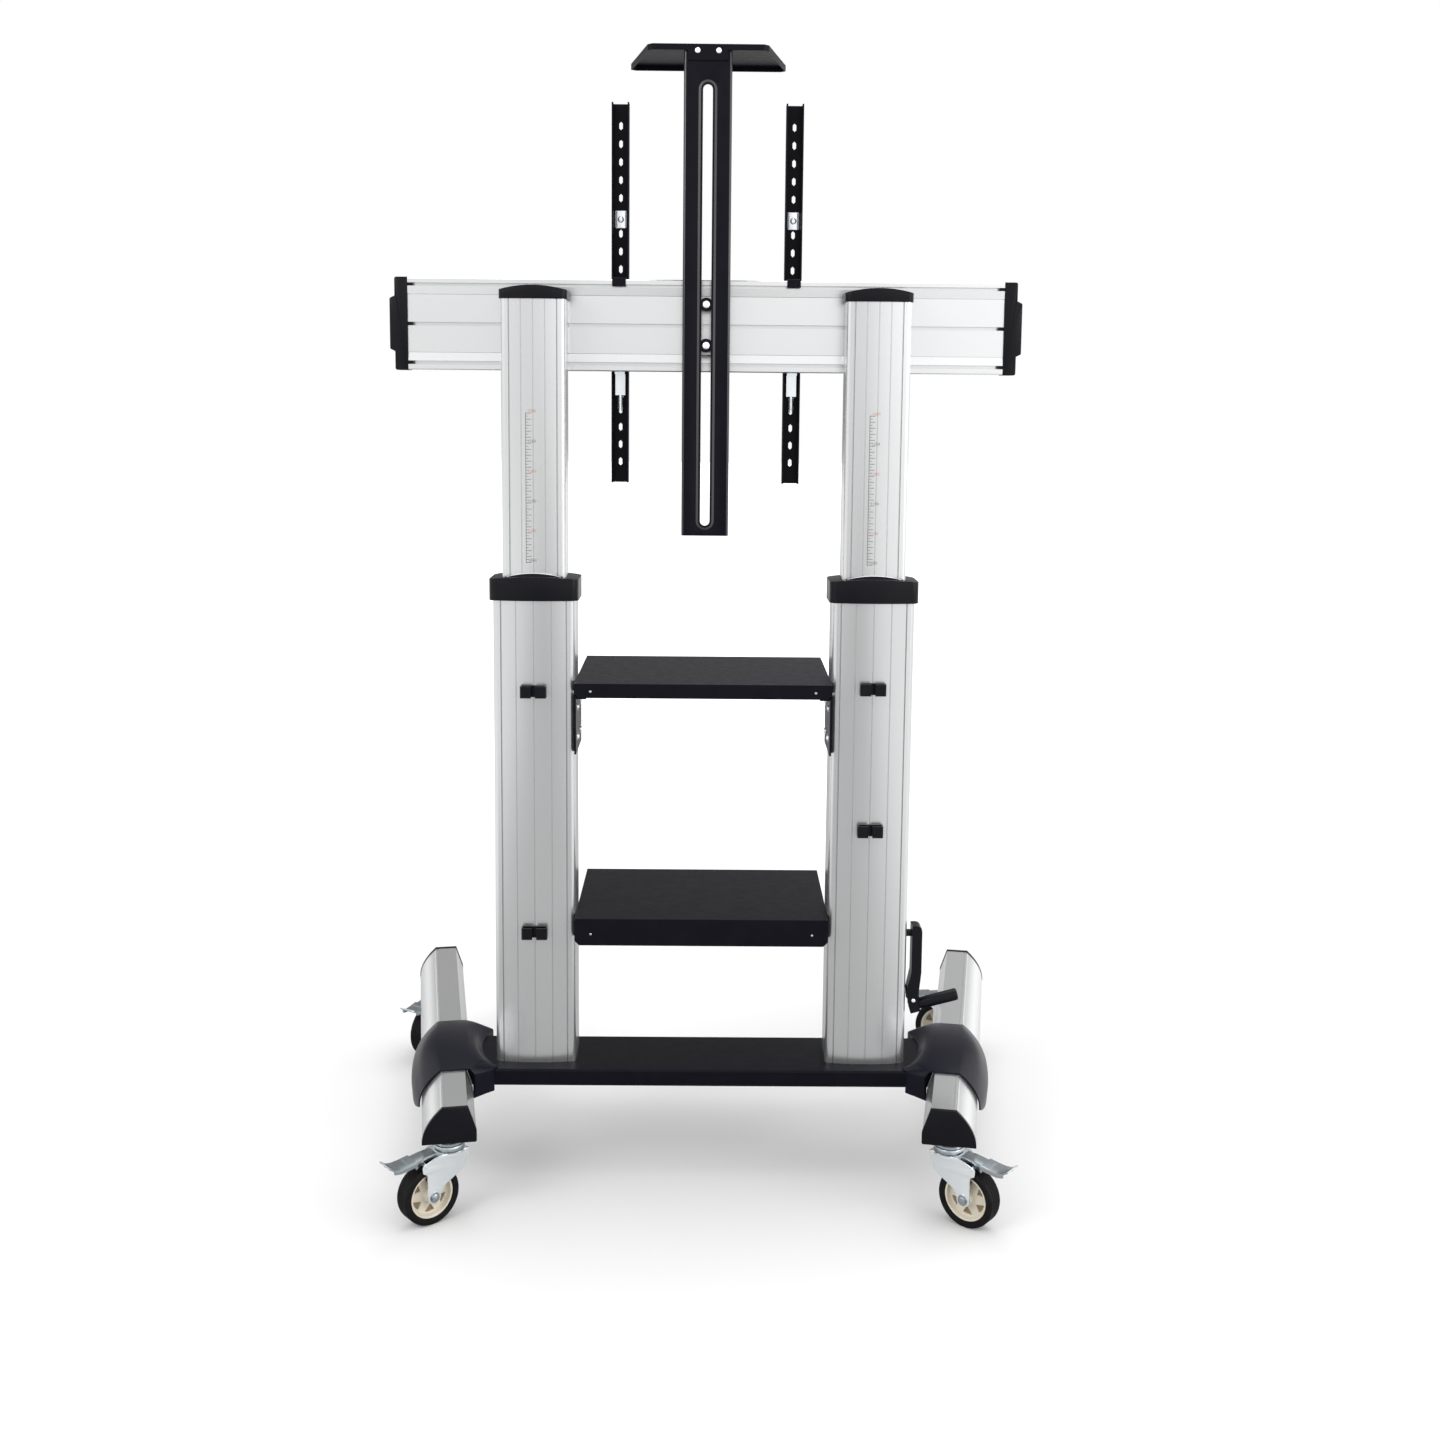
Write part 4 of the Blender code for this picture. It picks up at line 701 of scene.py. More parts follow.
@dataclass(frozen=True)
class HexBolt:
    """A chamfered hexagon head or nut on a washer, its seat at height 0."""

    radius: float
    height: float
    washer: float
    shank: float = 0.0

    def mesh(self) -> Mesh:
        """Builds the head, with its washer and the end of its thread if it has one.

        Returns:
            The mesh.
        """
        radius, outer, seat = self.radius, self.washer, 0.0012
        head = plate([arc((0.0, 0.0), radius, 30, 330, 5)], self.height + 0.001)
        moved(head, move(z=seat + self.height / 2 - 0.0005))
        flat, top = radius * math.cos(math.pi / 6), seat + self.height
        cone = [(0.0, -0.01), (radius * 1.4, -0.01), (radius * 1.4, top - 0.35 * radius)]
        cone += [(flat * 0.96, top), (0.0, top + 0.00001)]
        ring = [(0.001, -0.001), (outer, -0.001), (outer, seat - 0.0003)]
        ring += [(outer - 0.0003, seat), (0.001, seat)]
        meshes = [combined(head, [turned(cone, 36)], Join.TRIM), turned(ring, 32)]
        if self.shank:
            thread, end = 0.5 * radius, top + self.shank
            rod = [(0.0, 0.0), (thread, 0.0), (thread, end - 0.0006)]
            meshes.append(turned(rod + [(thread - 0.0006, end), (0.0, end)], 20))
        return merged(meshes)


# Patterns of repeated pieces


class Pattern(Nodes):
    """A geometry node tree that is built in the script and applied at once."""

    def __init__(self, name: str, **inputs: str) -> None:
        """Starts the tree.

        Args:
            name: The tree's name.
            inputs: The types of the inputs after the geometry, by name.
        """
        tree = bpy.data.node_groups.new(name, "GeometryNodeTree")
        super().__init__(tree, "GeometryNode")
        for label, kind in {"Geometry": "Geometry", **inputs}.items():
            tree.interface.new_socket(label, in_out="INPUT", socket_type="NodeSocket" + kind)
        self.keys = {item.name: item.identifier for item in tree.interface.items_tree}
        tree.interface.new_socket("Geometry", in_out="OUTPUT", socket_type="NodeSocketGeometry")
        self.given = tree.nodes.new("NodeGroupInput").outputs

    def finish(self, shape: Socket) -> None:
        """Ends the tree, with its instances made real."""
        real = self.node("RealizeInstances", Geometry=shape).outputs[0]
        self.feed(self.tree.nodes.new("NodeGroupOutput").inputs[0], real)

    def apply(self, base: Mesh | None = None, **values: object) -> Mesh:
        """Runs the tree on a mesh.

        Args:
            base: The mesh that it starts from, which is used up.
            values: The inputs, by name.

        Returns:
            The result as a plain mesh.
        """
        obj = link(self.tree.name, base or bpy.data.meshes.new("empty"))
        modifier = obj.modifiers.new("pattern", "NODES")
        modifier.node_group = self.tree
        for name, value in values.items():
            modifier[self.keys[name]] = value
        obj.update_tag()
        return evaluated(obj)


class PieceOnPoints(Pattern):
    """Copies of one piece on the points of a mesh, all turned alike."""

    def __init__(self) -> None:
        """Builds the tree."""
        super().__init__("piece_on_points", Piece="Object", Turn="Vector")
        piece = self.node("ObjectInfo", Object=self.given["Piece"]).outputs["Geometry"]
        points, turn = self.given["Geometry"], self.given["Turn"]
        placed = self.node("InstanceOnPoints", Points=points, Instance=piece, Rotation=turn)
        self.finish(placed.outputs[0])


class RowOfBars(Pattern):
    """A straight row of small bars at an even pitch, such as printed ticks or ribs."""

    def __init__(self) -> None:
        """Builds the tree."""
        inputs = {"Count": "Int", "Start": "Vector", "Pitch": "Vector", "Bar": "Vector"}
        super().__init__("row_of_bars", **inputs)
        count, start, pitch = (self.given[name] for name in ("Count", "Start", "Pitch"))
        line = self.node("MeshLine", Count=count, Start_Location=start, Offset=pitch)
        bar = self.node("MeshCube", Size=self.given["Bar"]).outputs[0]
        placed = self.node("InstanceOnPoints", Points=line.outputs[0], Instance=bar)
        self.finish(placed.outputs[0])


class CoilSpring(Pattern):
    """A coil spring of round wire about the Z axis, from its lower end."""

    def __init__(self) -> None:
        """Builds the tree."""
        inputs = {"Turns": "Float", "Radius": "Float", "Length": "Float", "Wire": "Float"}
        super().__init__("coil_spring", **inputs)
        turns, radius, length, wire = (self.given[name] for name in inputs)
        radii = {"Start_Radius": radius, "End_Radius": radius}
        coil = self.node("CurveSpiral", Resolution=16, Rotations=turns, Height=length, **radii)
        ring = self.node("CurvePrimitiveCircle", Resolution=8, Radius=wire)
        curves = {"Curve": coil.outputs[0], "Profile_Curve": ring.outputs[0]}
        self.finish(self.node("CurveToMesh", Fill_Caps=True, **curves).outputs[0])


class Patterns:
    """The node trees that the sub-assemblies share."""

    def __init__(self) -> None:
        """Builds the trees."""
        self.copies, self.rows, self.coils = PieceOnPoints(), RowOfBars(), CoilSpring()


# Sub-assemblies


@dataclass
class Assembly:
    """What every sub-assembly has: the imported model, the finishes and the patterns."""

    frame: dict
    finish: Palette
    patterns: Patterns

    def piece(
        self,
        name: str,
        mesh: Mesh,
        material: Material | None,
        body: str,
        slot: str,
        stands_for: str = "",
        smooth: float = 40.0,
    ) -> None:
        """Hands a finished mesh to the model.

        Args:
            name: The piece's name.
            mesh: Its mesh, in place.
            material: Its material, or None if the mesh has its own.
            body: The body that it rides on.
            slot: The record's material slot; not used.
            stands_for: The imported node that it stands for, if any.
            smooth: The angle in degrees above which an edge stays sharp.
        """
        mesh.name = name
        if material is not None:
            painted(mesh, material)
        mesh.shade_smooth()
        mesh.set_sharp_from_angle(angle=math.radians(smooth))
        obj = link(name, mesh)
        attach(obj, body)
        if stands_for:
            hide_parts(stands_for)
        LOG.info("%s on %s, %d faces", name, body, len(mesh.polygons))

    def moulding(self, node: str, mesh: Mesh, body: str) -> None:
        """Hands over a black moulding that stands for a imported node."""
        self.piece(node + "_moulding", mesh, self.finish.plastic, body, "black_plastic", node)

    def fasten(
        self,
        name: str,
        head: Mesh,
        places: Sequence[Place],
        body: str,
        material: Material,
        turn: Place = TO_SERVICE_SIDE,
    ) -> None:
        """Puts a copy of a fastener at each place, all as one piece.

        Args:
            name: The piece's name.
            head: The fastener, which is used up.
            places: Where the copies go.
            body: The body that they ride on.
            material: Their material.
            turn: Their Euler turn.
        """
        points = bpy.data.meshes.new("points")
        points.from_pydata(places, [], [])
        model = link("model", head)
        heads = self.patterns.copies.apply(points, Piece=model, Turn=turn)
        bpy.data.objects.remove(model, do_unlink=True)
        self.piece(name, heads, material, body, "zinc", smooth=30)

    def dress(self, nodes: Iterable[str], material: Material) -> None:
        """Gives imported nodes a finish.

        Args:
            nodes: The nodes' names.
            material: The finish.
        """
        for node in nodes:
            for slot in self.frame["nodes"][node].material_slots:
                slot.material = material

    def pivot(self, name: str) -> Vector:
        """Where a joint of the record is."""
        return Vector(self.joint(name)["pos_m"])

    def joint(self, name: str) -> dict:
        """A joint of the record by its name."""
        joints = self.frame["record"]["behaviour"]["joints"]
        return next(joint for joint in joints if joint["name"] == name)


@dataclass
class Leg(Assembly):
    """A splayed leg with its two caps, and the cover over it and the tray's end."""

    side: Side
    splay: float = math.radians(10.1)
    width: float = 0.087
    height: float = 0.058
    length: float = 0.775
    curve_run: float = 0.033
    slant_run: float = 0.0135
    slant_rise: float = 0.019
    heel: float = 0.003
    wall: float = 0.003
    cap_thickness: float = 0.008
    cover_wall: float = 0.0025
    cover_half: float = 0.1115
    cover_crown: float = 0.0122
    cover_bulge: float = 0.012
    cover_skirt: float = 0.024
    cover_slack: float = 0.0016
    cover_waist: float = 0.0645
    cover_corner: float = 0.0875
    cover_corner_at: float = 0.75
    tray_drop: float = 0.010
    tray_end: float = 0.2875

    @property
    def axis(self) -> Matrix:
        """The leg's frame: along Y, with its origin on the underside.

        Returns:
            The matrix.
        """
        low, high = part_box(f"leg_{self.side}")
        middle = (low + high) / 2
        turn = Matrix.Rotation(-self.side.value * self.splay, 4, "Z")
        return move(middle.x, middle.y, low.z) @ turn

    def build(self) -> None:
        """Makes the leg, its caps and its cover."""
        node = f"leg_{self.side}"
        loops = [self.section(0.0, True), self.section(-self.wall)]
        mesh = moved(plate(loops, self.length), TO_XZ, self.axis)
        self.piece(node + "_profile", mesh, self.finish.leg, "base", "aluminium", node, 22)
        for end, word in ((-1, "rear"), (1, "front")):
            cap = softened(plate([self.section(0.0008)], self.cap_thickness), 0.0016, 3)
            at = end * (self.length / 2 + 0.0003 + self.cap_thickness / 2)
            mesh = moved(cap, TO_XZ, move(y=at), self.axis)
            self.moulding(f"leg_cap_{word}_{self.side}", mesh, "base")
        self.cover()

    def section(self, grow: float, grooved: bool = False) -> list[Flat]:
        """The leg's section: a curved outer side, and an upright, then slanted inner side.

        Args:
            grow: How far the outline lies outside the leg's.
            grooved: Whether the fine grooves along the ridge are there.

        Returns:
            The outline, with the leg's underside at height 0.
        """
        half, top, low = self.width / 2 + grow, self.height + grow, -grow
        ridge = half - self.curve_run
        points = [(-half, self.slant_rise)]
        points += arc((-half + self.heel, low + self.heel), self.heel, 180, 270, 5)
        shares = [step / 28 for step in range(29)]
        points += [(half - self.curve_run * t**2, low + (top - low) * t) for t in shares]
        if grooved:
            points[-1] = (ridge + 0.0011, top - 0.0006)
            points += [(ridge, top - 0.0011), (ridge - 0.0009, top), (ridge - 0.0032, top)]
            points += [(ridge - 0.0042, top - 0.0011), (ridge - 0.0051, top)]
        points.append((-half + self.slant_run, top))
        return [(self.side.value * x, z) for x, z in points]

    def cover_section(self, s: float) -> list[Flat]:
        """The cover's section across the leg, outer side first.

        Args:
            s: The share of its half length, from -1 to 1.

        Returns:
            The open outline.
        """
        swell, share = 1 - s * s, abs(s) / self.cover_corner_at
        margin = self.cover_wall + 0.0005
        top = self.height + margin + self.cover_crown * swell
        shoulder = self.width / 2 - self.curve_run + self.cover_slack
        run = self.curve_run + margin + self.cover_slack / 2 + self.cover_bulge * swell
        points = [(shoulder + run - 0.002 * swell, -0.002 - self.cover_skirt * swell)]
        for turn in (QUARTER * step / 20 for step in range(21)):
            out = math.cos(turn) ** (0.92 + 0.9 * s * s)
            points.append((shoulder + run * out, top * math.sin(turn)))
        edge = -self.cover_waist - (self.cover_corner - self.cover_waist) * share**2
        if share > 1:
            end = self.width / 2 + self.cover_wall + self.cover_slack
            blend = (abs(s) - self.cover_corner_at) / (1 - self.cover_corner_at)
            edge = -self.cover_corner + (self.cover_corner - end) * blend**1.5
        ledge = self.height - self.tray_drop + self.cover_wall + 0.0008
        ridge = (-self.width / 2 + self.slant_run - 0.007 * swell, top)
        knee = ((ridge[0] + edge) / 2, (top + ledge) / 2 + 0.004)
        brim = (edge + 0.002, ledge)
        for (x, z), end in ((ridge, knee), (knee, brim)):
            points += [(x + (end[0] - x) * t / 3, z + (end[1] - z) * t / 3) for t in range(3)]
        points += [brim, (edge + 0.0005, ledge - 0.0012)]
        return [*points, (edge, ledge - 0.004), (edge, 0.010)]

    def cover(self) -> None:
        """The moulded cover: a swelling shell, open for the tray, with gussets beside it."""
        side, axis = self.side.value, self.axis
        leg_x, leg_y, leg_z = axis.translation
        low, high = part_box("base_tray")
        middle, depth = (low.y + high.y) / 2, high.y - low.y
        shares = [math.sin(QUARTER * step / 22) for step in range(-22, 23)]
        rows = [
            [(side * u, s * self.cover_half, z) for u, z in self.cover_section(s)] for s in shares
        ]
        along = (middle - leg_y) / math.cos(self.splay)
        sheet = moved(lofted(rows, closed=False), move(y=along), axis)
        if max(sheet.polygons, key=lambda face: face.center.z).normal.z < 0:
            sheet.flip_normals()
        wall = {"thickness": self.cover_wall, "offset": -1, "use_even_offset": True}
        shell = modified(sheet, "SOLIDIFY", **wall)
        far, near = side * abs(leg_x), side * self.tray_end
        size = (abs(far - near), depth + 0.0006, high.z + 0.0003)
        shell = combined(shell, [block(size, ((far + near) / 2, middle, size[2] / 2))])
        gussets = []
        for end in ENDS:
            y = middle + end * (depth / 2 + 0.0006 + self.cover_wall / 2)
            x = abs(leg_x) + (y - leg_y) * math.tan(self.splay)
            outer = x - self.width / 2 / math.cos(self.splay) - 0.001
            inner, bottom, top = x - self.cover_corner + 0.0095, leg_z + 0.010, high.z + 0.0015
            corners = [(inner, top), (inner, bottom), (outer, bottom - 0.014), (outer, top)]
            gusset = plate([[(side * x, z) for x, z in corners]], self.cover_wall)
            gussets.append(moved(gusset, TO_XZ, move(y=y)))
        node, finish = f"leg_cover_{self.side}", self.finish.cover_plastic
        mesh = combined(shell, gussets, Join.ADD)
        self.piece(node + "_moulding", mesh, finish, "base", "black_plastic", node, 32)


@dataclass
class Tray(Assembly):
    """The tray between the legs."""

    bolts_x: Flat = (0.245, 0.330)
    bolts_y: Flat = (-0.150, -0.097)
    sheet: float = 0.0025

    def build(self) -> None:
        """Dresses the tray and adds the bolts that hold the columns' feet, on its underside."""
        self.dress(["base_tray"], self.finish.steel)
        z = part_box("base_tray")[1].z - self.sheet
        signs = [side.value for side in Side]
        places = [(sign * x, y, z) for sign in signs for x in self.bolts_x for y in self.bolts_y]
        bolt, turn = HexBolt(0.0065, 0.004, 0.009).mesh(), (math.pi, 0, 0)
        self.fasten("tray_bolts", bolt, places, "base", self.finish.zinc, turn)


@dataclass(frozen=True)
class Profile:
    """The outline of a column's profile: bowed faces, round corners and fine lines.

    A line and a groove are given by their half width and their depth.
    """

    crown: float
    corner: float
    lines: tuple[float, ...] = ()
    line: Flat = (0.0009, 0.0008)
    groove: Flat = (0.0011, 0.0026)
    groove_inset: float = 0.014

    def outline(self, box: Box, grooved: bool = False, facets: int = 48) -> list[Flat]:
        """The outline about the profile's own axis.

        Args:
            box: Its lowest and its highest corner.
            grooved: Whether its fine lines and the two deep grooves near its edges are there.
            facets: Pieces of a bowed face.

        Returns:
            The outline.
        """
        low, high = box
        width, depth = high.x - low.x, high.y - low.y
        reach = width / 2 - self.corner
        notches = [(end * (width / 2 - self.groove_inset), *self.groove) for end in ENDS]
        notches += [(at, *self.line) for at in self.lines]
        stops = [(-reach + 2 * reach * i / facets, 0.0) for i in range(facets + 1)]
        for at, half, deep in notches if grooved else ():
            stops = [stop for stop in stops if abs(stop[0] - at) > 1.6 * half]
            stops += [(at - half, 0.0), (at - half / 3, deep), (at + half / 3, deep)]
            stops.append((at + half, 0.0))
        face = [
            (x, -depth / 2 + self.crown * (x / reach) ** 2 + inset) for x, inset in sorted(stops)
        ]
        middle = -depth / 2 + self.crown + self.corner
        half_way = arc((-reach, middle), self.corner, 180, 270, 8)[:-1] + face
        half_way += arc((reach, middle), self.corner, 270, 360, 8)[1:]
        return half_way + [(-x, -y) for x, y in half_way]


@dataclass
class Column(Assembly):
    """A telescopic column: its two profiles, collar and cap, and the printed height scale."""

    side: Side
    outer: Profile = Profile(0.005, 0.009, (-0.030, 0.0, 0.030))
    inner: Profile = Profile(0.003, 0.008, (-0.020, 0.0, 0.020))
    ring: Profile = Profile(0.005, 0.014)
    lid: Profile = Profile(0.003, 0.011)
    wall: float = 0.004
    collar_crown: float = 0.006
    collar_lip: float = 0.005
    collar_wall: float = 0.003
    lid_crown: float = 0.008
    scale_top: float = 1.317
    scale_pitch: float = 0.050
    tick_pitch: float = 0.010
    scale_labels: tuple[int, ...] = (1300, 1250, 1200, 1150, 1100, 1050)

    def build(self) -> None:
        """Makes the column, and dresses the screw in it and the shaft."""
        finish = self.finish
        self.tube("outer_column", "base", self.outer, finish.outer_column)
        self.tube("inner_column", "lift", self.inner, finish.inner_column)
        self.collar()
        low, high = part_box(f"column_cap_{self.side}")
        middle = (low + high) / 2
        lid = moved(plate([self.lid.outline((low, high))], high.z - low.z), move(z=middle.z))
        top = above(high.x - low.x + 0.002, high.z - self.lid_crown, self.lid_crown)
        lid = moved(softened(combined(lid, [top]), 0.0016, 3, 40), move(middle.x, middle.y))
        self.moulding(f"column_cap_{self.side}", lid, "lift")
        self.scale()
        self.dress([f"lead_screw_{self.side}", "cross_shaft"], finish.zinc)

    def tube(self, stem: str, body: str, profile: Profile, finish: Material) -> None:
        """A profile of the column.

        Args:
            stem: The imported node's name without its side.
            body: The body that it rides on.
            profile: Its outline.
            finish: Its material.
        """
        node = f"{stem}_{self.side}"
        low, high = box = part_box(node)
        inwards = 1 - 2 * self.wall / (high.x - low.x)
        room = [(x * inwards, y * 0.84) for x, y in profile.outline(box, facets=8)]
        mesh = plate([profile.outline(box, True), room], high.z - low.z)
        moved(mesh, Matrix.Translation((low + high) / 2))
        self.piece(node + "_profile", mesh, finish, body, "aluminium", node, 20)

    def collar(self) -> None:
        """The collar: a crowned frame, a lip round the inner column, and zinc strips as painted
        highlights.
        """
        node = f"collar_{self.side}"
        low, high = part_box(node)
        inner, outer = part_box(f"inner_column_{self.side}"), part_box(f"outer_column_{self.side}")
        middle, rise, lip_height = (low + high) / 2, self.collar_crown, self.collar_lip
        shoulder = high.z - lip_height - rise
        reach = (inner[1].y - inner[0].y) / 2 + self.collar_wall
        depth = (high.y - low.y) / 2 - self.ring.crown - 0.0035 - reach
        brow = inner[1].x - inner[0].x - 0.010
        frame = moved(plate([self.ring.outline((low, high))], high.z - low.z), move(z=middle.z))
        frame = combined(frame, [above(high.x - low.x + 0.02, shoulder, rise)])
        pocket = (brow - 0.002, depth, 0.018)
        spots = [(0, end * (reach + depth / 2 - 0.0004), shoulder) for end in ENDS]
        pockets = [softened(block(pocket, spot), 0.002, 3) for spot in spots]
        frame = softened(combined(frame, pockets), 0.0011, 3, 40)
        crown = [(-brow / 2, low.z + 0.012), (brow / 2, low.z + 0.012)]
        crown += bowed(brow, shoulder + lip_height, rise)
        lip = softened(moved(plate([crown], 2 * reach), TO_XZ), 0.0006, 2, 40)
        throat = self.inner.outline(grown(inner, 0.0006))
        seat = self.outer.outline(grown(outer, 0.0002))
        levels = ((throat, middle.z), (seat, outer[1].z + 0.0003 - 0.2))
        meshes = [
            combined(mesh, [moved(plate([loop], 0.4), move(z=z)) for loop, z in levels])
            for mesh in (frame, lip)
        ]
        self.moulding(node, moved(merged(meshes), move(middle.x, middle.y)), "base")
        # Thin bright zinc strips along the lip's top edges: painted highlights, not parts of the
        # collar
        edge = bowed(brow - 0.006, shoulder + lip_height - 0.0002, rise)
        wire = arc((0.0, 0.0), 0.0008, 0, 324, 9)
        edges = [
            lofted([[(x, end * (reach - 0.0006) + y, z + up) for y, up in wire] for x, z in edge])
            for end in ENDS
        ]
        mesh = moved(merged(edges), move(middle.x, middle.y))
        self.piece(node + "_edges", mesh, self.finish.zinc, "base", "zinc", smooth=60)

    def scale(self) -> None:
        """The printed height scale on the inner column's service side."""
        low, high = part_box(f"inner_column_{self.side}")
        face, spine = low.y - 0.00012, (low.x + high.x) / 2 - 0.0125
        black, red, top = self.finish.black_ink, self.finish.red_ink, self.scale_top
        count = len(self.scale_labels) - 1
        length = self.scale_pitch * count
        bars, pitch = [], (0, 0, -self.tick_pitch)
        for number, x, z, size in (
            (1, 0.0, top - length / 2, (0.0009, 0.0001, length + 0.002)),
            (5 * count + 1, 0.0045, top, (0.009, 0.0001, 0.0010)),
            (5 * count, 0.0022, top - 0.005, (0.0044, 0.0001, 0.0008)),
        ):
            row = {"Count": number, "Start": (spine + x, face, z), "Pitch": pitch}
            bars.append(painted(self.patterns.rows.apply(Bar=size, **row), black))
        for index, label in enumerate(self.scale_labels):
            font = bpy.data.curves.new("figures", "FONT")
            font.body, font.size, font.extrude, font.resolution_u = str(label), 0.0072, 0.00005, 2
            obj = link("figures", font)
            obj.rotation_euler = TO_SERVICE_SIDE
            obj.location = (spine + 0.0030, face, top - self.scale_pitch * index + 0.0012)
            bars.append(painted(evaluated(obj), black if index % 2 else red))
        self.piece(f"height_scale_{self.side}", merged(bars), None, "lift", "aluminium", smooth=35)


@dataclass
class Crossbeam(Assembly):
    """The beam with its caps, the camera mast and its shelf."""

    skirt: float = 0.0068
    wall: float = 0.0025
    fold: float = 0.0045
    slot: float = 0.008
    border: float = 0.0165
    border_flat: float = 0.0105
    border_rise: float = 0.0015
    slot_from_top: float = 0.053
    slot_from_bottom: float = 0.009
    bolt_heights: Flat = (1.500, 1.432)

    def build(self) -> None:
        """Makes the beam, its caps, the mast and the bolts."""
        self.dress(["camera_shelf"], self.finish.steel)
        self.beam()
        for side in Side:
            self.cap(side)
        self.mast()
        self.bolts()

    def beam(self) -> None:
        """The beam: three slots a side, and a sunk band between sloping shoulders."""
        low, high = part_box("beam")
        depth, half = (high.y - low.y) / 2, (high.z - low.z) / 2
        face = [
            *((0.0015, half), (0.0, half - 0.0015)),
            *((0.0, 0.0687), (0.0100, 0.0684), (0.0100, 0.0636), (0.0, 0.0633)),
            *((0.0010, 0.0500), (0.0017, 0.0492)),
            *((0.0017, 0.0031), (0.0110, 0.0027), (0.0110, -0.0027), (0.0017, -0.0031)),
            *((0.0017, -0.0472), (0.0023, -0.0480)),
            *((0.0004, -0.0618), (0.0100, -0.0621), (0.0100, -0.0675), (0.0, -0.0678)),
            *((0.0, 0.0015 - half), (0.0015, -half)),
        ]
        outline = [(x - depth, z) for x, z in face] + [(depth - x, z) for x, z in reversed(face)]
        mesh = plate([outline], high.x - low.x)
        moved(mesh, TO_YZ, Matrix.Translation((low + high) / 2))
        self.piece("beam_profile", mesh, self.finish.beam, "lift", "aluminium", "beam", 4)

    def cap(self, side: Side) -> None:
        """A cap on the beam's end: a stepped block, and tabs in the beam's slots.

        Args:
            side: The beam's end.
        """
        node, sign = f"beam_cap_{side}", side.value
        (low, high), (beam_low, beam_high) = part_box(node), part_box("beam")
        middle, depth = (beam_low + beam_high) / 2, beam_high.y - beam_low.y
        skirt, rise = (beam_high.x - beam_low.x) / 2 - self.skirt, (high.z - low.z) / 2
        tip = max(abs(low.x), abs(high.x))
        half = [(skirt, rise), (tip - 0.0085, rise), (tip - 0.0085, 0.0465), (tip, 0.0425)]
        radii = [0.0, 0.004, 0.002, 0.003]
        outline = rounded(half + [(x, -z) for x, z in reversed(half)], radii + radii[::-1])
        cap = softened(plate([[(sign * x, z) for x, z in outline]], depth + 0.0016), 0.0012)
        self.moulding(node, moved(cap, TO_XZ, move(y=middle.y, z=middle.z)), "lift")
        tabs = []
        for z, height in ((0.0660, 0.0040), (0.0, 0.0044), (-0.0648, 0.0048)):
            for end in ENDS:
                y = middle.y + end * (depth / 2 - 0.0030)
                spot = (sign * (skirt - 0.004), y, middle.z + z)
                tabs.append(block((0.010, 0.0040, height), spot))
        self.piece(node + "_tabs", merged(tabs), self.finish.plastic, "lift", "black_plastic")

    def mast(self) -> None:
        """The mast: a channel with round folds and an embossed slot, with painted highlights on its
        folds.
        """
        low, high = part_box("camera_mast")
        half, rear, front = (high.x - low.x) / 2, low.y + self.border_rise, high.y
        wall, fold, slot = self.wall, self.fold, self.slot
        border, flat = self.border, self.border_flat
        bend = (half - fold, rear + fold)
        outside = [(half, front), (half, rear + fold)] + arc(bend, fold, 0, -90, 8)[1:]
        inside = [(half - wall, front), (half - wall, rear + fold)]
        inside += arc(bend, fold - wall, 0, -90, 8)[1:]
        section = outside + [(-x, y) for x, y in reversed(outside)]
        section += [(-x, y) for x, y in inside] + list(reversed(inside))
        channel = moved(plate([section], high.z - low.z), move(z=(low.z + high.z) / 2))
        start, end = low.z + self.slot_from_bottom, high.z - self.slot_from_top
        opening = plate([stadium(border - 0.0004, start, end)], 0.02)
        channel = combined(channel, [moved(opening, TO_XZ, move(y=rear))])
        levels = [
            *((border, rear + wall), (border, rear), (border - 0.0012, rear - 0.0002)),
            *((flat + 0.001, low.y + 0.0002), (flat, low.y), (slot + 0.0006, low.y)),
            *((slot, low.y + 0.0006), (slot, rear + wall), (border, rear + wall)),
        ]
        loops = []
        for width, y in levels:
            inset = border - width
            loops.append([(x, y, z) for x, z in stadium(width, start + inset, end - inset)])
        ring = evaluated(link("ring", lofted(loops)))
        mesh = merged([softened(channel, 0.0004), ring])
        painted(mesh, self.finish.steel, self.finish.worn_steel)
        # Tilted faces that face the service side take the glossier copy: painted highlights on the
        # folds and the slot's border
        for polygon in mesh.polygons:
            tilt = math.hypot(polygon.normal.x, polygon.normal.z)
            polygon.material_index = int(0.2 < tilt < 0.97 and polygon.normal.y < -0.1)
        name = "camera_mast"
        self.piece(name + "_channel", mesh, None, "mast", "black_steel", name, 28)

    def bolts(self) -> None:
        """The bolts that clamp the mast to the beam, and those of the camera shelf."""
        finish, face = self.finish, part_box("camera_mast")[0].y + 0.0004
        washer = [(0.003, -0.001), (0.0115, -0.001), (0.0115, 0.0009), (0.0111, 0.0012)]
        washer = turned(washer + [(0.003, 0.0012)], 36)
        places = [(0.0, face, z) for z in self.bolt_heights]
        self.fasten("mast_washers", washer, places, "lift", finish.steel)
        places = [(0.0, face - 0.0012, z) for z in self.bolt_heights]
        self.fasten("mast_bolts", ButtonScrew(0.0062, 0.0040).mesh(), places, "lift", finish.zinc)
        low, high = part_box("camera_shelf")
        places = [(end * 0.0175, low.y, high.z - 0.0105) for end in ENDS]
        head = ButtonScrew(0.0046, 0.0026).mesh()
        self.fasten("camera_shelf_bolts", head, places, "mast", finish.zinc)


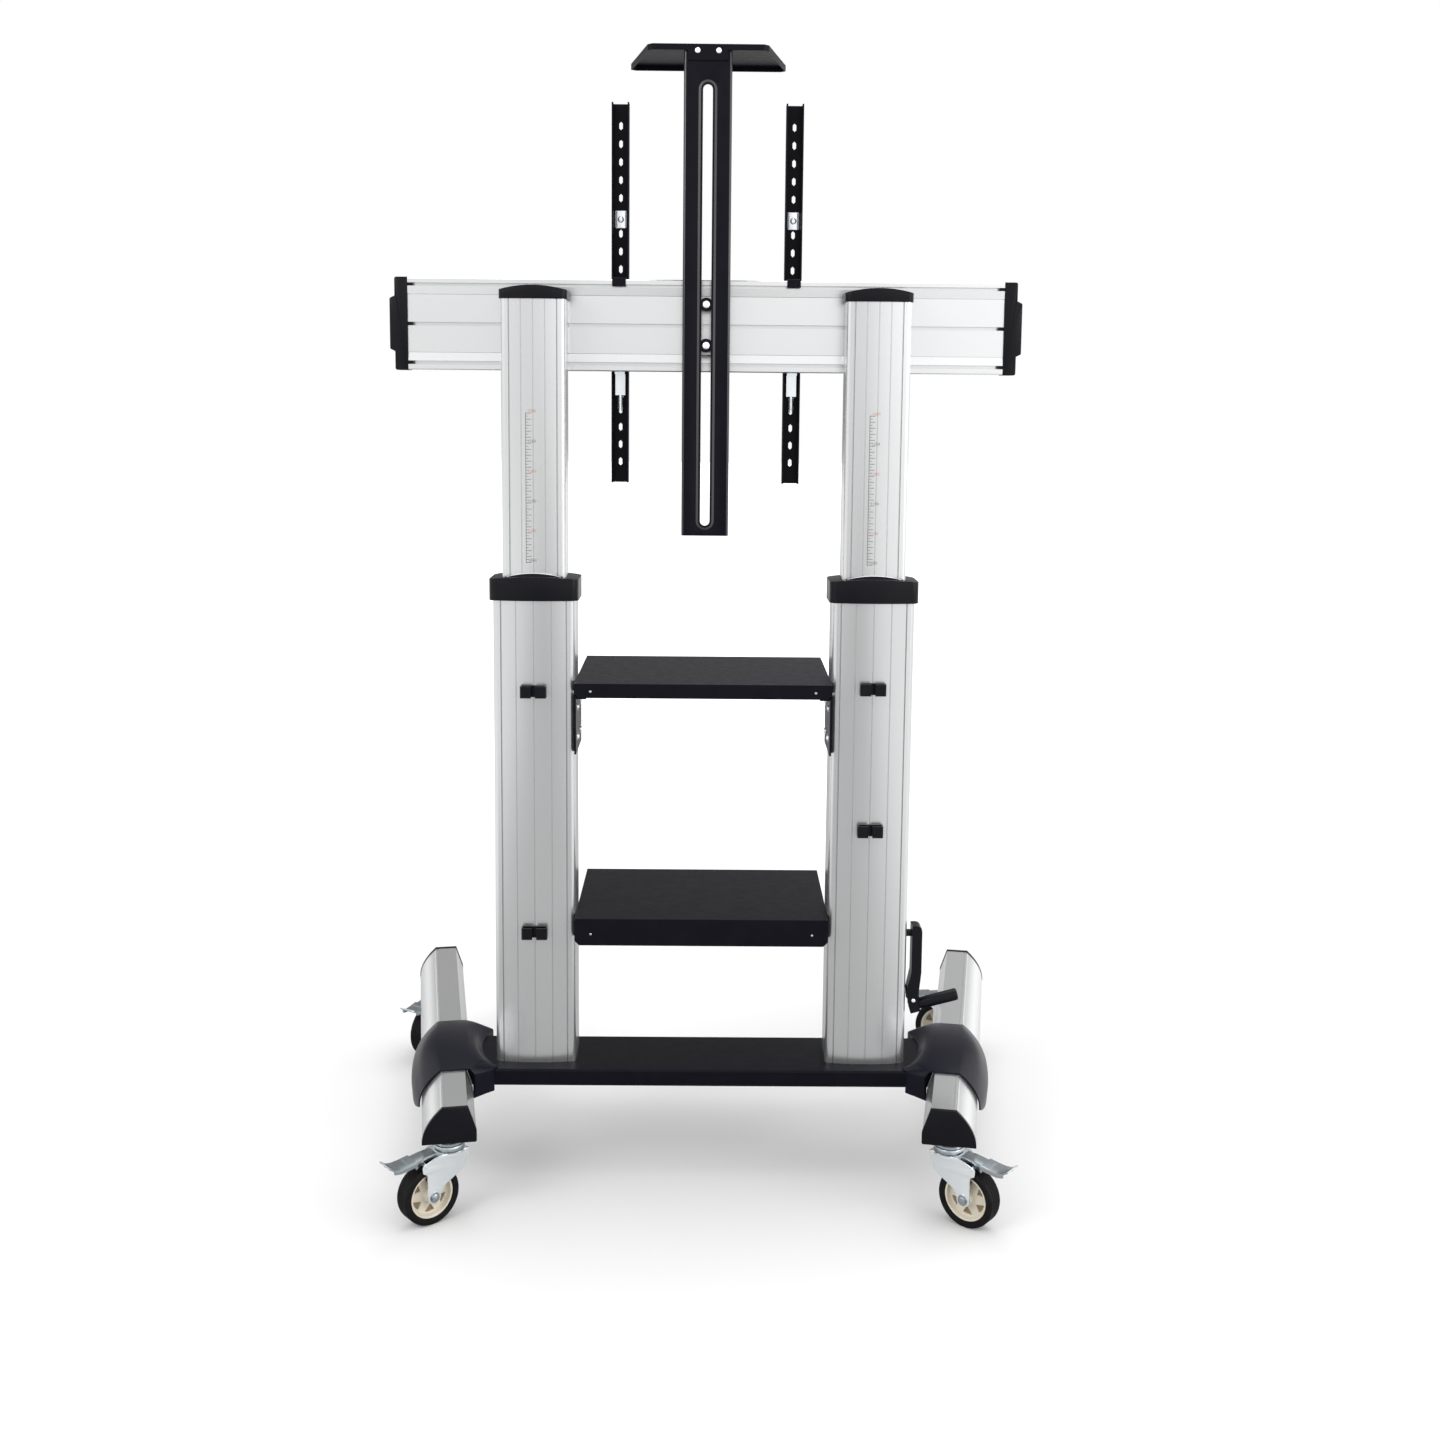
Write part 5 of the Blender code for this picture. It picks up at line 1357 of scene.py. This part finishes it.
@dataclass
class ScreenBracket(Assembly):
    """A bracket that holds the screen, its screw on a square washer, and its latch."""

    side: Side
    screw_height: float = 1.647
    sheet: float = 0.0025
    washer: Flat = (0.010, 0.0145)

    def build(self) -> None:
        """Dresses the bracket and its latch, and adds the screw and the latch's spring."""
        zinc, side = self.finish.zinc, self.side
        name, latch = f"screen_bracket_{side}", f"bracket_latch_{side}"
        self.dress([name], self.finish.steel)
        self.dress([latch], zinc)
        low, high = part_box(name)
        x, y, z = (low.x + high.x) / 2, high.y - self.sheet, self.screw_height
        w, h = self.washer
        pad = rounded([(-w, -h), (w, -h), (w, h), (-w, h)], [0.002] * 4)
        pad = moved(softened(plate([pad], 0.002), 0.0003), TO_XZ, move(x, y - 0.001, z))
        self.piece(name + "_washers", pad, zinc, name, "zinc", smooth=30)
        head = ButtonScrew(0.0055, 0.0035).mesh()
        self.fasten(name + "_screws", head, [(x, y - 0.002, z)], name, zinc)
        low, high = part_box(latch)
        spring = self.patterns.coils.apply(Turns=7.0, Radius=0.0045, Length=0.020, Wire=0.0006)
        moved(spring, move(x, high.y - 0.006, low.z + 0.005))
        self.piece(latch + "_spring", spring, zinc, latch, "zinc")


@dataclass
class Shelves(Assembly):
    """The shelves between the columns and the cable clips."""

    screws_x: float = 0.190
    bolts_y: Flat = (-0.155, -0.092)
    bolts_z: Flat = (0.026, 0.078)

    def build(self) -> None:
        """Dresses the shelves and clips, and adds the shelves' screws."""
        brackets = {side: f"upper_shelf_bracket_{side}" for side in Side}
        self.dress(["upper_shelf", "lower_shelf", *brackets.values()], self.finish.steel)
        clips = [name for name in self.frame["nodes"] if name.startswith("cable_clip")]
        self.dress(clips, self.finish.plastic)
        for shelf, body, rise in (("upper", "upper_shelf", 0.011), ("lower", "base", 0.020)):
            low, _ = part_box(shelf + "_shelf")
            ends = [(end * self.screws_x, low.y, low.z + rise) for end in ENDS]
            head, name = ButtonScrew(0.0022, 0.0014).mesh(), shelf + "_shelf_screws"
            self.fasten(name, head, ends, body, self.finish.pressed)
        for side, name in brackets.items():
            low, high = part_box(name)
            wall = side.value * (max(abs(low.x), abs(high.x)) - 0.003)
            places = [(wall, y, low.z + rise) for y in self.bolts_y for rise in self.bolts_z]
            head, turn = ButtonScrew(0.005, 0.0028, 0.0075).mesh(), (0, -side.value * QUARTER, 0)
            self.fasten(name + "_bolts", head, places, "upper_shelf", self.finish.zinc, turn)


@dataclass
class Crank(Assembly):
    """The folding crank."""

    grip: float = 0.0105
    tip: float = 0.004
    sleeve: Flat = (0.004, 0.0062)

    def build(self) -> None:
        """Turns the grip, and adds the pivot screw's two ends and the sleeve on the shaft."""
        plastic = self.finish.plastic
        self.dress(["crank_arm", "crank_knuckle"], plastic)
        mesh = self.turned_grip()
        self.piece("crank_grip_turned", mesh, plastic, "crank_grip", "black_plastic", "crank_grip")
        at, heads = self.pivot("crank_grip_fold"), []
        arm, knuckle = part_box("crank_arm"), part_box("crank_knuckle")
        faces = (min(arm[0].y, knuckle[0].y), max(arm[1].y, knuckle[1].y))
        for turn, face in zip((TO_XZ, FROM_XZ), faces):
            heads.append(moved(ButtonScrew(0.0034, 0.0018).mesh(), turn, move(at.x, face, at.z)))
        screw, zinc = merged(heads), self.finish.zinc
        self.piece("crank_pivot_screw", screw, zinc, "crank_knuckle", "zinc", smooth=30)
        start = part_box("outer_column_right")[1].x + 0.0006
        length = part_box("cross_shaft")[1].x + 0.0008 - start
        (inner, outer), at = self.sleeve, self.pivot("crank_turn")
        mesh = turned([(inner, 0.0), (outer, 0.0), (outer, length), (inner, length)], 32)
        moved(mesh, Matrix.Rotation(QUARTER, 4, "Y"), move(start, at.y, at.z))
        self.piece("crank_sleeve", mesh, plastic, "crank", "black_plastic")

    def turned_grip(self) -> Mesh:
        """The grip, a waisted handle with a round end, in place on its spindle.

        Returns:
            The mesh.
        """
        along = Vector(self.joint("crank_grip_spin")["axis"]).normalized()
        (low, high), radius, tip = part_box("crank_grip"), self.grip, self.tip
        length = (high - low).x / max(along.x, 0.1) - 2 * radius * along.z / along.x * 0.98
        profile = [(0.0045, 0.0), (radius - 0.0022, 0.0), (radius - 0.0012, 0.0010)]
        profile += [(radius - 0.0010, 0.008), (radius, 0.016), (radius, length - tip)]
        end = arc((0, 0), tip, 20, 90, 4)
        profile += [(radius - tip + r, length - tip + z) for r, z in end]
        mesh = turned(profile + [(0.0, length), (0.0, 0.004), (0.0045, 0.004)], 40)
        turn = along.to_track_quat("Z", "Y").to_matrix().to_4x4()
        moved(mesh, turn, Matrix.Translation(self.pivot("crank_grip_spin")))
        start = min(vertex.co.x for vertex in mesh.vertices)
        return moved(mesh, Matrix.Translation(along * ((low.x - start) / along.x)))


@dataclass
class Caster(Assembly):
    """A caster: wheel, fork, swivel race and brake lever."""

    name: str
    wheel: float = 0.050
    tyre_half: float = 0.016
    tyre_depth: float = 0.0115
    tyre_edge: float = 0.0045
    rim: float = 0.0382
    boss: float = 0.0125
    cheek: float = 0.0025
    cheek_y: float = 0.02025
    cheek_boss: float = 0.0115
    crown_top: float = 0.1175
    race_low: float = 0.118
    race_height: float = 0.0205
    race_radius: float = 0.0255
    horn: float = 0.060
    reach: float = 0.117
    neck: float = 0.066
    pin: Flat = (0.054, 0.107)
    trail: float = 0.0

    def build(self) -> None:
        """Makes the caster."""
        stem, finish = f"caster_{self.name}_", self.finish
        swivel = self.pivot(stem + "swivel_turn")
        way = self.pivot(stem + "wheel_roll") - swivel
        self.trail = math.hypot(way.x, way.y)
        frame = move(swivel.x, swivel.y) @ Matrix.Rotation(math.atan2(way.y, way.x), 4, "Z")
        to_wheel = frame @ move(self.trail, 0, self.wheel) @ TO_XZ
        upright = move(swivel.x, swivel.y)
        for name, mesh, place, material, body, slot, node, smooth in (
            ("tread", self.tyre(), to_wheel, finish.rubber, "wheel", "rubber", "tyre", 40),
            ("spokes", self.hub(), to_wheel, None, "wheel", "nylon", "hub", 35),
            ("pressing", self.fork(), frame, None, "swivel", "zinc", "fork", 35),
            ("bearing", self.race(), upright, finish.pressed, "", "zinc", "race", 30),
            ("lever", self.lever(), frame, finish.pressed, "brake", "zinc", "brake_lever", 35),
        ):
            body = stem + body if body else "base"
            self.piece(stem + name, moved(mesh, place), material, body, slot, stem + node, smooth)

    def tyre(self) -> Mesh:
        """The tyre, with round shoulders and a grooved tread.

        Returns:
            The mesh.
        """
        half, inner, outer = self.tyre_half, self.wheel - self.tyre_depth, self.wheel
        edge = self.tyre_edge
        profile = [(inner, half - 0.003), (inner + 0.0008, half - 0.0005), (inner + 0.003, half)]
        profile += arc((outer - edge, half - edge), edge, 90, 0, 6)
        for at in (0.0072, 0.0024):
            groove = ((0.0, 0.0010), (0.0009, 0.0004), (0.0009, -0.0004), (0.0, -0.0010))
            profile += [(outer - deep, at + aside) for deep, aside in groove]
        return turned(profile + [(r, -h) for r, h in reversed(profile)], 72)

    def hub(self) -> Mesh:
        """The hub: boss, webbed disc with windows, and raised rim, with a brown disc of painted
        shade inside.

        Returns:
            The mesh.
        """
        boss, inner, rim = self.boss, self.rim - 0.0035, self.rim
        upper = [
            *((0.0055, 0.017), (boss - 0.0008, 0.017), (boss, 0.0162), (boss + 0.0010, 0.0055)),
            *((boss + 0.0030, 0.0038), (inner - 0.0020, 0.0038), (inner - 0.0004, 0.0060)),
            *((inner, 0.0128), (inner + 0.0007, 0.0135), (rim - 0.0004, 0.0135), (rim, 0.0131)),
        ]
        disc = turned(upper + [(r, -h) for r, h in reversed(upper)], 72)
        near, far, windows = boss + 0.0048, inner - 0.0035, []
        for angle in (60 * (window + 0.5) for window in range(6)):
            points = ((near, -6), (far, -17), (far, 1), (far, 18))
            turns = [(radius, math.radians(angle + aside)) for radius, aside in points]
            corners = [(radius * math.cos(t), radius * math.sin(t)) for radius, t in turns]
            windows.append(plate([rounded(corners, [0.0015, 0.0015, 0.0, 0.0015])], 0.03))
        disc = painted(softened(combined(disc, windows), 0.0004), self.finish.nylon)
        # A thin brown disc in the hub's middle plane: painted shade seen through the windows
        web = turned([(boss, -0.0006), (inner, -0.0006), (inner, 0.0006), (boss, 0.0006)], 36)
        return merged([disc, painted(web, self.finish.shaded_nylon)])

    def cheek_outline(self) -> list[Flat]:
        """One side of the fork, seen along the axle.

        Returns:
            The outline.
        """
        top, low, trail, boss = self.crown_top, self.wheel, self.trail, self.cheek_boss
        back, horn, horn_top, horn_low = -0.025, self.horn, top - 0.00975, top - 0.0247
        corners = [
            *((back, top), (back + 0.001, top - 0.008), (back + 0.009, low + 3.1 * boss)),
            *((trail - 1.7 * boss, low + 1.35 * boss), (trail - 1.02 * boss, low + 0.3 * boss)),
            (trail, low),
        ]
        outline = rounded(corners, [0.0, 0.006, 0.02, 0.02, 0.0, 0.0], 5)[:-1]
        outline += arc((trail, low), boss, 175, 360, 18)
        tail = [
            *((trail + boss, low + 0.001), (trail + boss, horn_low - 0.004)),
            *((trail + boss + 0.003, horn_low), (horn, horn_low + 0.002), (horn, horn_top)),
            *((self.race_radius + 0.004, top), (0.0, top)),
        ]
        return outline + rounded(tail, [0.0, 0.006, 0.006, 0.004, 0.006, 0.003, 0.0], 5)

    def fork(self) -> Mesh:
        """The swivelling fork with its axle bolt and nut.

        Returns:
            The mesh.
        """
        top, face = self.crown_top, self.cheek_y + self.cheek / 2
        bright = []
        loops = [self.cheek_outline(), arc(self.pin, 0.0032, 0, 345, 23)]
        for end in ENDS:
            cheek = softened(plate(loops, self.cheek), 0.0005)
            bright.append(moved(cheek, TO_XZ, move(y=end * self.cheek_y)))
        crown = [(0.0, top - 0.005), (0.0265, top - 0.005), (0.027, top - 0.0045)]
        crown += [(0.027, top - 0.0012), (0.0258, top), (0.0, top)]
        x, far, y = -0.0245, 0.0295, 0.0212
        bridge = rounded([(x, -y), (far, -y), (far, y), (x, y)], [0.002] * 4)
        bridge = moved(softened(plate([bridge], 0.0046), 0.0006), move(z=top - 0.0026))
        sleeve = turned([(0.0, -0.0203), (0.0050, -0.0203), (0.0050, 0.0203), (0.0, 0.0203)], 24)
        to_axle = move(self.trail, 0, self.wheel)
        bright += [turned(crown, 48), bridge, moved(sleeve, TO_XZ, to_axle)]
        rivet = [(0.0, -face - 0.0016), (0.0026, -face - 0.0012), (0.0032, -face + 0.0006)]
        rivet += [(0.0032, -face + 0.001), (0.0, -face + 0.001)]
        for turn in (FROM_XZ, TO_XZ):
            bright.append(moved(turned(rivet, 20), turn, move(self.pin[0], 0, self.pin[1])))
        head = HexBolt(0.0070, 0.0032, 0.0090).mesh()
        nut = HexBolt(0.0070, 0.0036, 0.0090, 0.0014).mesh()
        moved(head, TO_XZ, move(y=-face), to_axle)
        moved(nut, FROM_XZ, move(y=face), to_axle)
        meshes = [painted(mesh, self.finish.zinc) for mesh in bright]
        return merged(meshes + [painted(mesh, self.finish.pressed) for mesh in (head, nut)])

    def race(self) -> Mesh:
        """The swivel race: two dished rings with the ball gap between, and the stem.

        Returns:
            The mesh.
        """
        low, rim, top = self.race_low, self.race_radius, self.race_low + self.race_height
        rings = (
            *((0.0016, 0.0), (0.0, 0.0012), (0.0, 0.0066), (0.0008, 0.0080), (0.0028, 0.0084)),
            *((0.0028, 0.0094), (0.0006, 0.0098), (0.0, 0.0106), (0.0, 0.0140)),
            *((0.0014, 0.0164), (0.0060, 0.0176), (0.0075, 0.0192), (0.0090, self.race_height)),
        )
        profile = [(0.0, low)] + [(rim - inset, low + rise) for inset, rise in rings]
        return turned(profile + [(0.0110, top), (0.0110, top + 0.0032), (0.0, top + 0.0032)], 56)

    def lever(self) -> Mesh:
        """The brake lever: a pressed strip with an upturned lip, flanges, ribs and its web.

        Returns:
            The mesh.
        """
        level, tip, neck = self.crown_top, self.reach, self.neck
        ridge = [
            *((self.race_radius + 0.004, 0.002), (0.050, 0.001), (0.068, -0.0015)),
            *((0.084, -0.0040), (0.098, -0.0052), (0.108, -0.0036), (tip, 0.0030), (tip, -0.05)),
        ]
        radii = [0.0, 0.02, 0.02, 0.02, 0.012, 0.008, 0.0, 0.0]
        upper = rounded([(x, level + rise) for x, rise in ridge], radii)[:-1]
        lower = [(x, z - 0.002) for x, z in reversed(upper)]
        lower[0] = (tip + 0.0017, level + 0.0018)
        pad = [(x, z + 0.0003) for x, z in upper if x > neck]
        pad += [(x, z - 0.0003) for x, z in lower if x > neck]
        strip = softened(plate([upper + lower], 0.025), 0.0005)
        meshes = [moved(strip, TO_XZ), moved(softened(plate([pad], 0.034), 0.0008), TO_XZ)]
        arm = [(x, z - 0.0004) for x, z in upper if x < neck + 0.003]
        crest = [(x, z - 0.0004) for x, z in upper if neck < x < tip - 0.006]
        (pin_x, pin_z), sides = self.pin, []
        for line, aside in ((arm, 0.0121), (crest, 0.0164)):
            flange = line + [(x, z - 0.0064) for x, z in reversed(line)]
            sides.append((flange, 0.0016, aside, 50))
        web = [(pin_x - 0.009, level - 0.001), (pin_x - 0.004, pin_z - 0.002)]
        web += [(pin_x + 0.005, pin_z - 0.0035), (pin_x + 0.012, pin_z - 0.009)]
        web = rounded([*web, (pin_x + 0.014, level - 0.006)], [0.001, 0.003, 0.003, 0.002, 0.001])
        sides.append((web, 0.002, 0.0078, 35))
        for outline, thickness, aside, angle in sides:
            for end in ENDS:
                mesh = softened(plate([outline], thickness), 0.0004, angle=angle)
                meshes.append(moved(mesh, TO_XZ, move(y=end * aside)))
        pin = turned([(0.0, -0.0188), (0.0030, -0.0188), (0.0030, 0.0188), (0.0, 0.0188)], 20)
        meshes.append(moved(pin, TO_XZ, move(pin_x, 0, pin_z)))
        row = {"Start": (0.0700, 0.0, level - 0.0016), "Pitch": (0.0036, 0, -0.0005)}
        ribs = self.patterns.rows.apply(Count=4, Bar=(0.0015, 0.027, 0.0017), **row)
        return merged([*meshes, ribs])


# Studio


@dataclass
class Studio:
    """The pale floor, the soft lights and the camera."""

    eye: Place = (0.0062, -2.9019, 1.35)
    pitch: float = 7.315
    yaw: float = 0.438
    roll: float = 0.523
    lens: float = 40.873
    sensor: float = 36.0
    shift: float = -0.08
    floor_reach: float = 30.0
    floor_tones: Flat = (0.36, 0.60)
    floor_glow: Flat = (0.04, 0.72)
    floor_sides: Flat = (0.02, 0.75)
    room: Flat = (0.36, 1.00)
    room_side: float = 0.30
    room_right: float = 0.60
    room_behind: float = 0.30

    def build(self) -> None:
        """Sets up the whole studio."""
        self.floor()
        self.world()
        self.light("key", (-3.0, -3.2, 3.6), 0.9, 2.2, 90)
        self.light("fill", (3.6, -2.4, 1.8), 0.9, 2.0, 30)
        self.light("top", (0.3, 0.8, 4.2), 0.4, 2.5, 55)
        self.camera()
        bpy.context.scene.view_settings.view_transform = "Standard"

    def camera(self) -> None:
        """Places the camera at the service side."""
        data = bpy.data.cameras.new("camera")
        data.lens, data.sensor_width, data.shift_y = self.lens, self.sensor, self.shift
        obj = link("camera", data)
        turn = Matrix.Rotation(math.radians(-self.yaw), 4, "Z")
        turn @= Matrix.Rotation(math.radians(90 - self.pitch), 4, "X")
        turn @= Matrix.Rotation(math.radians(self.roll), 4, "Z")
        obj.matrix_world = Matrix.Translation(self.eye) @ turn
        bpy.context.scene.camera = obj

    def floor(self) -> None:
        """A pale floor that keeps the shadow and is white to the camera away from the stand."""
        reach = self.floor_reach
        corners = [(-reach, -reach, 0), (reach, -reach, 0), (reach, reach, 0), (-reach, reach, 0)]
        mesh = bpy.data.meshes.new("floor")
        mesh.from_pydata(corners, [], [(0, 1, 2, 3)])
        shader = Shader("studio_floor")
        main = shader.main
        main["Roughness"].default_value, main["Specular IOR Level"].default_value = 0.9, 0.1
        main["Emission Color"].default_value = (1.0, 1.0, 1.0, 1.0)
        seen, (first, second) = shader.node("LightPath").outputs["Is Camera Ray"], self.floor_tones
        paint = shader.node("Mix", Factor=seen, A=first, B=second)
        shader.feed(main["Base Color"], paint.outputs["Result"])
        radius = shader.node("VectorMath", operation="LENGTH", Vector=shader.place)
        split = shader.node("SeparateXYZ", Vector=shader.place).outputs
        aside = shader.reckon("ABSOLUTE", shader.reckon("ADD", split["X"], 0.25))
        sides = shader.ranged(aside, (0.45, 1.8), self.floor_sides)
        glow = shader.ranged(radius.outputs["Value"], (1.1, 3.2), self.floor_glow)
        choice = shader.node("Mix", Factor=seen, A=sides, B=glow)
        shader.feed(main["Emission Strength"], choice.outputs["Result"])
        mesh.materials.append(shader.material)
        link("floor", mesh)

    def world(self) -> None:
        """Soft light that grows upwards, to the sides and from the right, white to the camera."""
        world = bpy.data.worlds.new("studio")
        world.use_nodes = True
        bpy.context.scene.world = world
        nodes = Nodes(world.node_tree)
        background = nodes.tree.nodes["Background"].inputs
        background["Color"].default_value = (1.0, 1.0, 1.0, 1.0)
        way = nodes.node("TexCoord").outputs["Generated"]
        split = nodes.node("SeparateXYZ", Vector=way).outputs
        upwards = nodes.ranged(split["Z"], (-0.20, 0.15), self.room)
        aside = nodes.reckon("ABSOLUTE", split["X"])
        aside = nodes.ranged(aside, (0.06, 0.62), (0.0, self.room_side))
        right = nodes.ranged(split["X"], (-0.30, 0.30), (0.0, self.room_right))
        behind = nodes.ranged(split["Y"], (0.45, 0.85), (1.0, self.room_behind))
        strength = nodes.reckon("ADD", nodes.reckon("ADD", upwards, aside), right)
        strength = nodes.reckon("MULTIPLY", strength, behind)
        seen = nodes.node("LightPath").outputs["Is Camera Ray"]
        choice = nodes.node("Mix", Factor=seen, A=strength, B=1.0)
        nodes.feed(background["Strength"], choice.outputs["Result"])

    def light(self, name: str, at: Place, aim: float, size: float, power: float) -> None:
        """A soft square light.

        Args:
            name: Its name.
            at: Where it hangs.
            aim: The height on the stand that it points at.
            size: Its width.
            power: Its power in watts.
        """
        data = bpy.data.lights.new(name, "AREA")
        data.shape, data.size, data.energy = "SQUARE", size, power
        obj = link(name, data)
        obj.location = at
        way = Vector((0, 0, aim)) - Vector(at)
        obj.rotation_euler = way.to_track_quat("-Z", "Y").to_euler()


def main() -> None:
    """Builds the classes in order."""
    logging.basicConfig(level=logging.INFO, format="%(name)s: %(message)s")
    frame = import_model()
    Studio().build()
    kit = (frame, Palette(), Patterns())
    plan: list[Assembly] = [*(Leg(*kit, side) for side in Side), Tray(*kit)]
    plan += [*(Column(*kit, side) for side in Side), Crossbeam(*kit)]
    plan += [*(ScreenBracket(*kit, side) for side in Side), Shelves(*kit), Crank(*kit)]
    plan += [Caster(*kit, f"{end}_{side}") for end in ("rear", "front") for side in Side]
    for assembly in plan:
        assembly.build()
        LOG.info("%s done", type(assembly).__name__)
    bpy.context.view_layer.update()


if __name__ == "__main__":
    main()
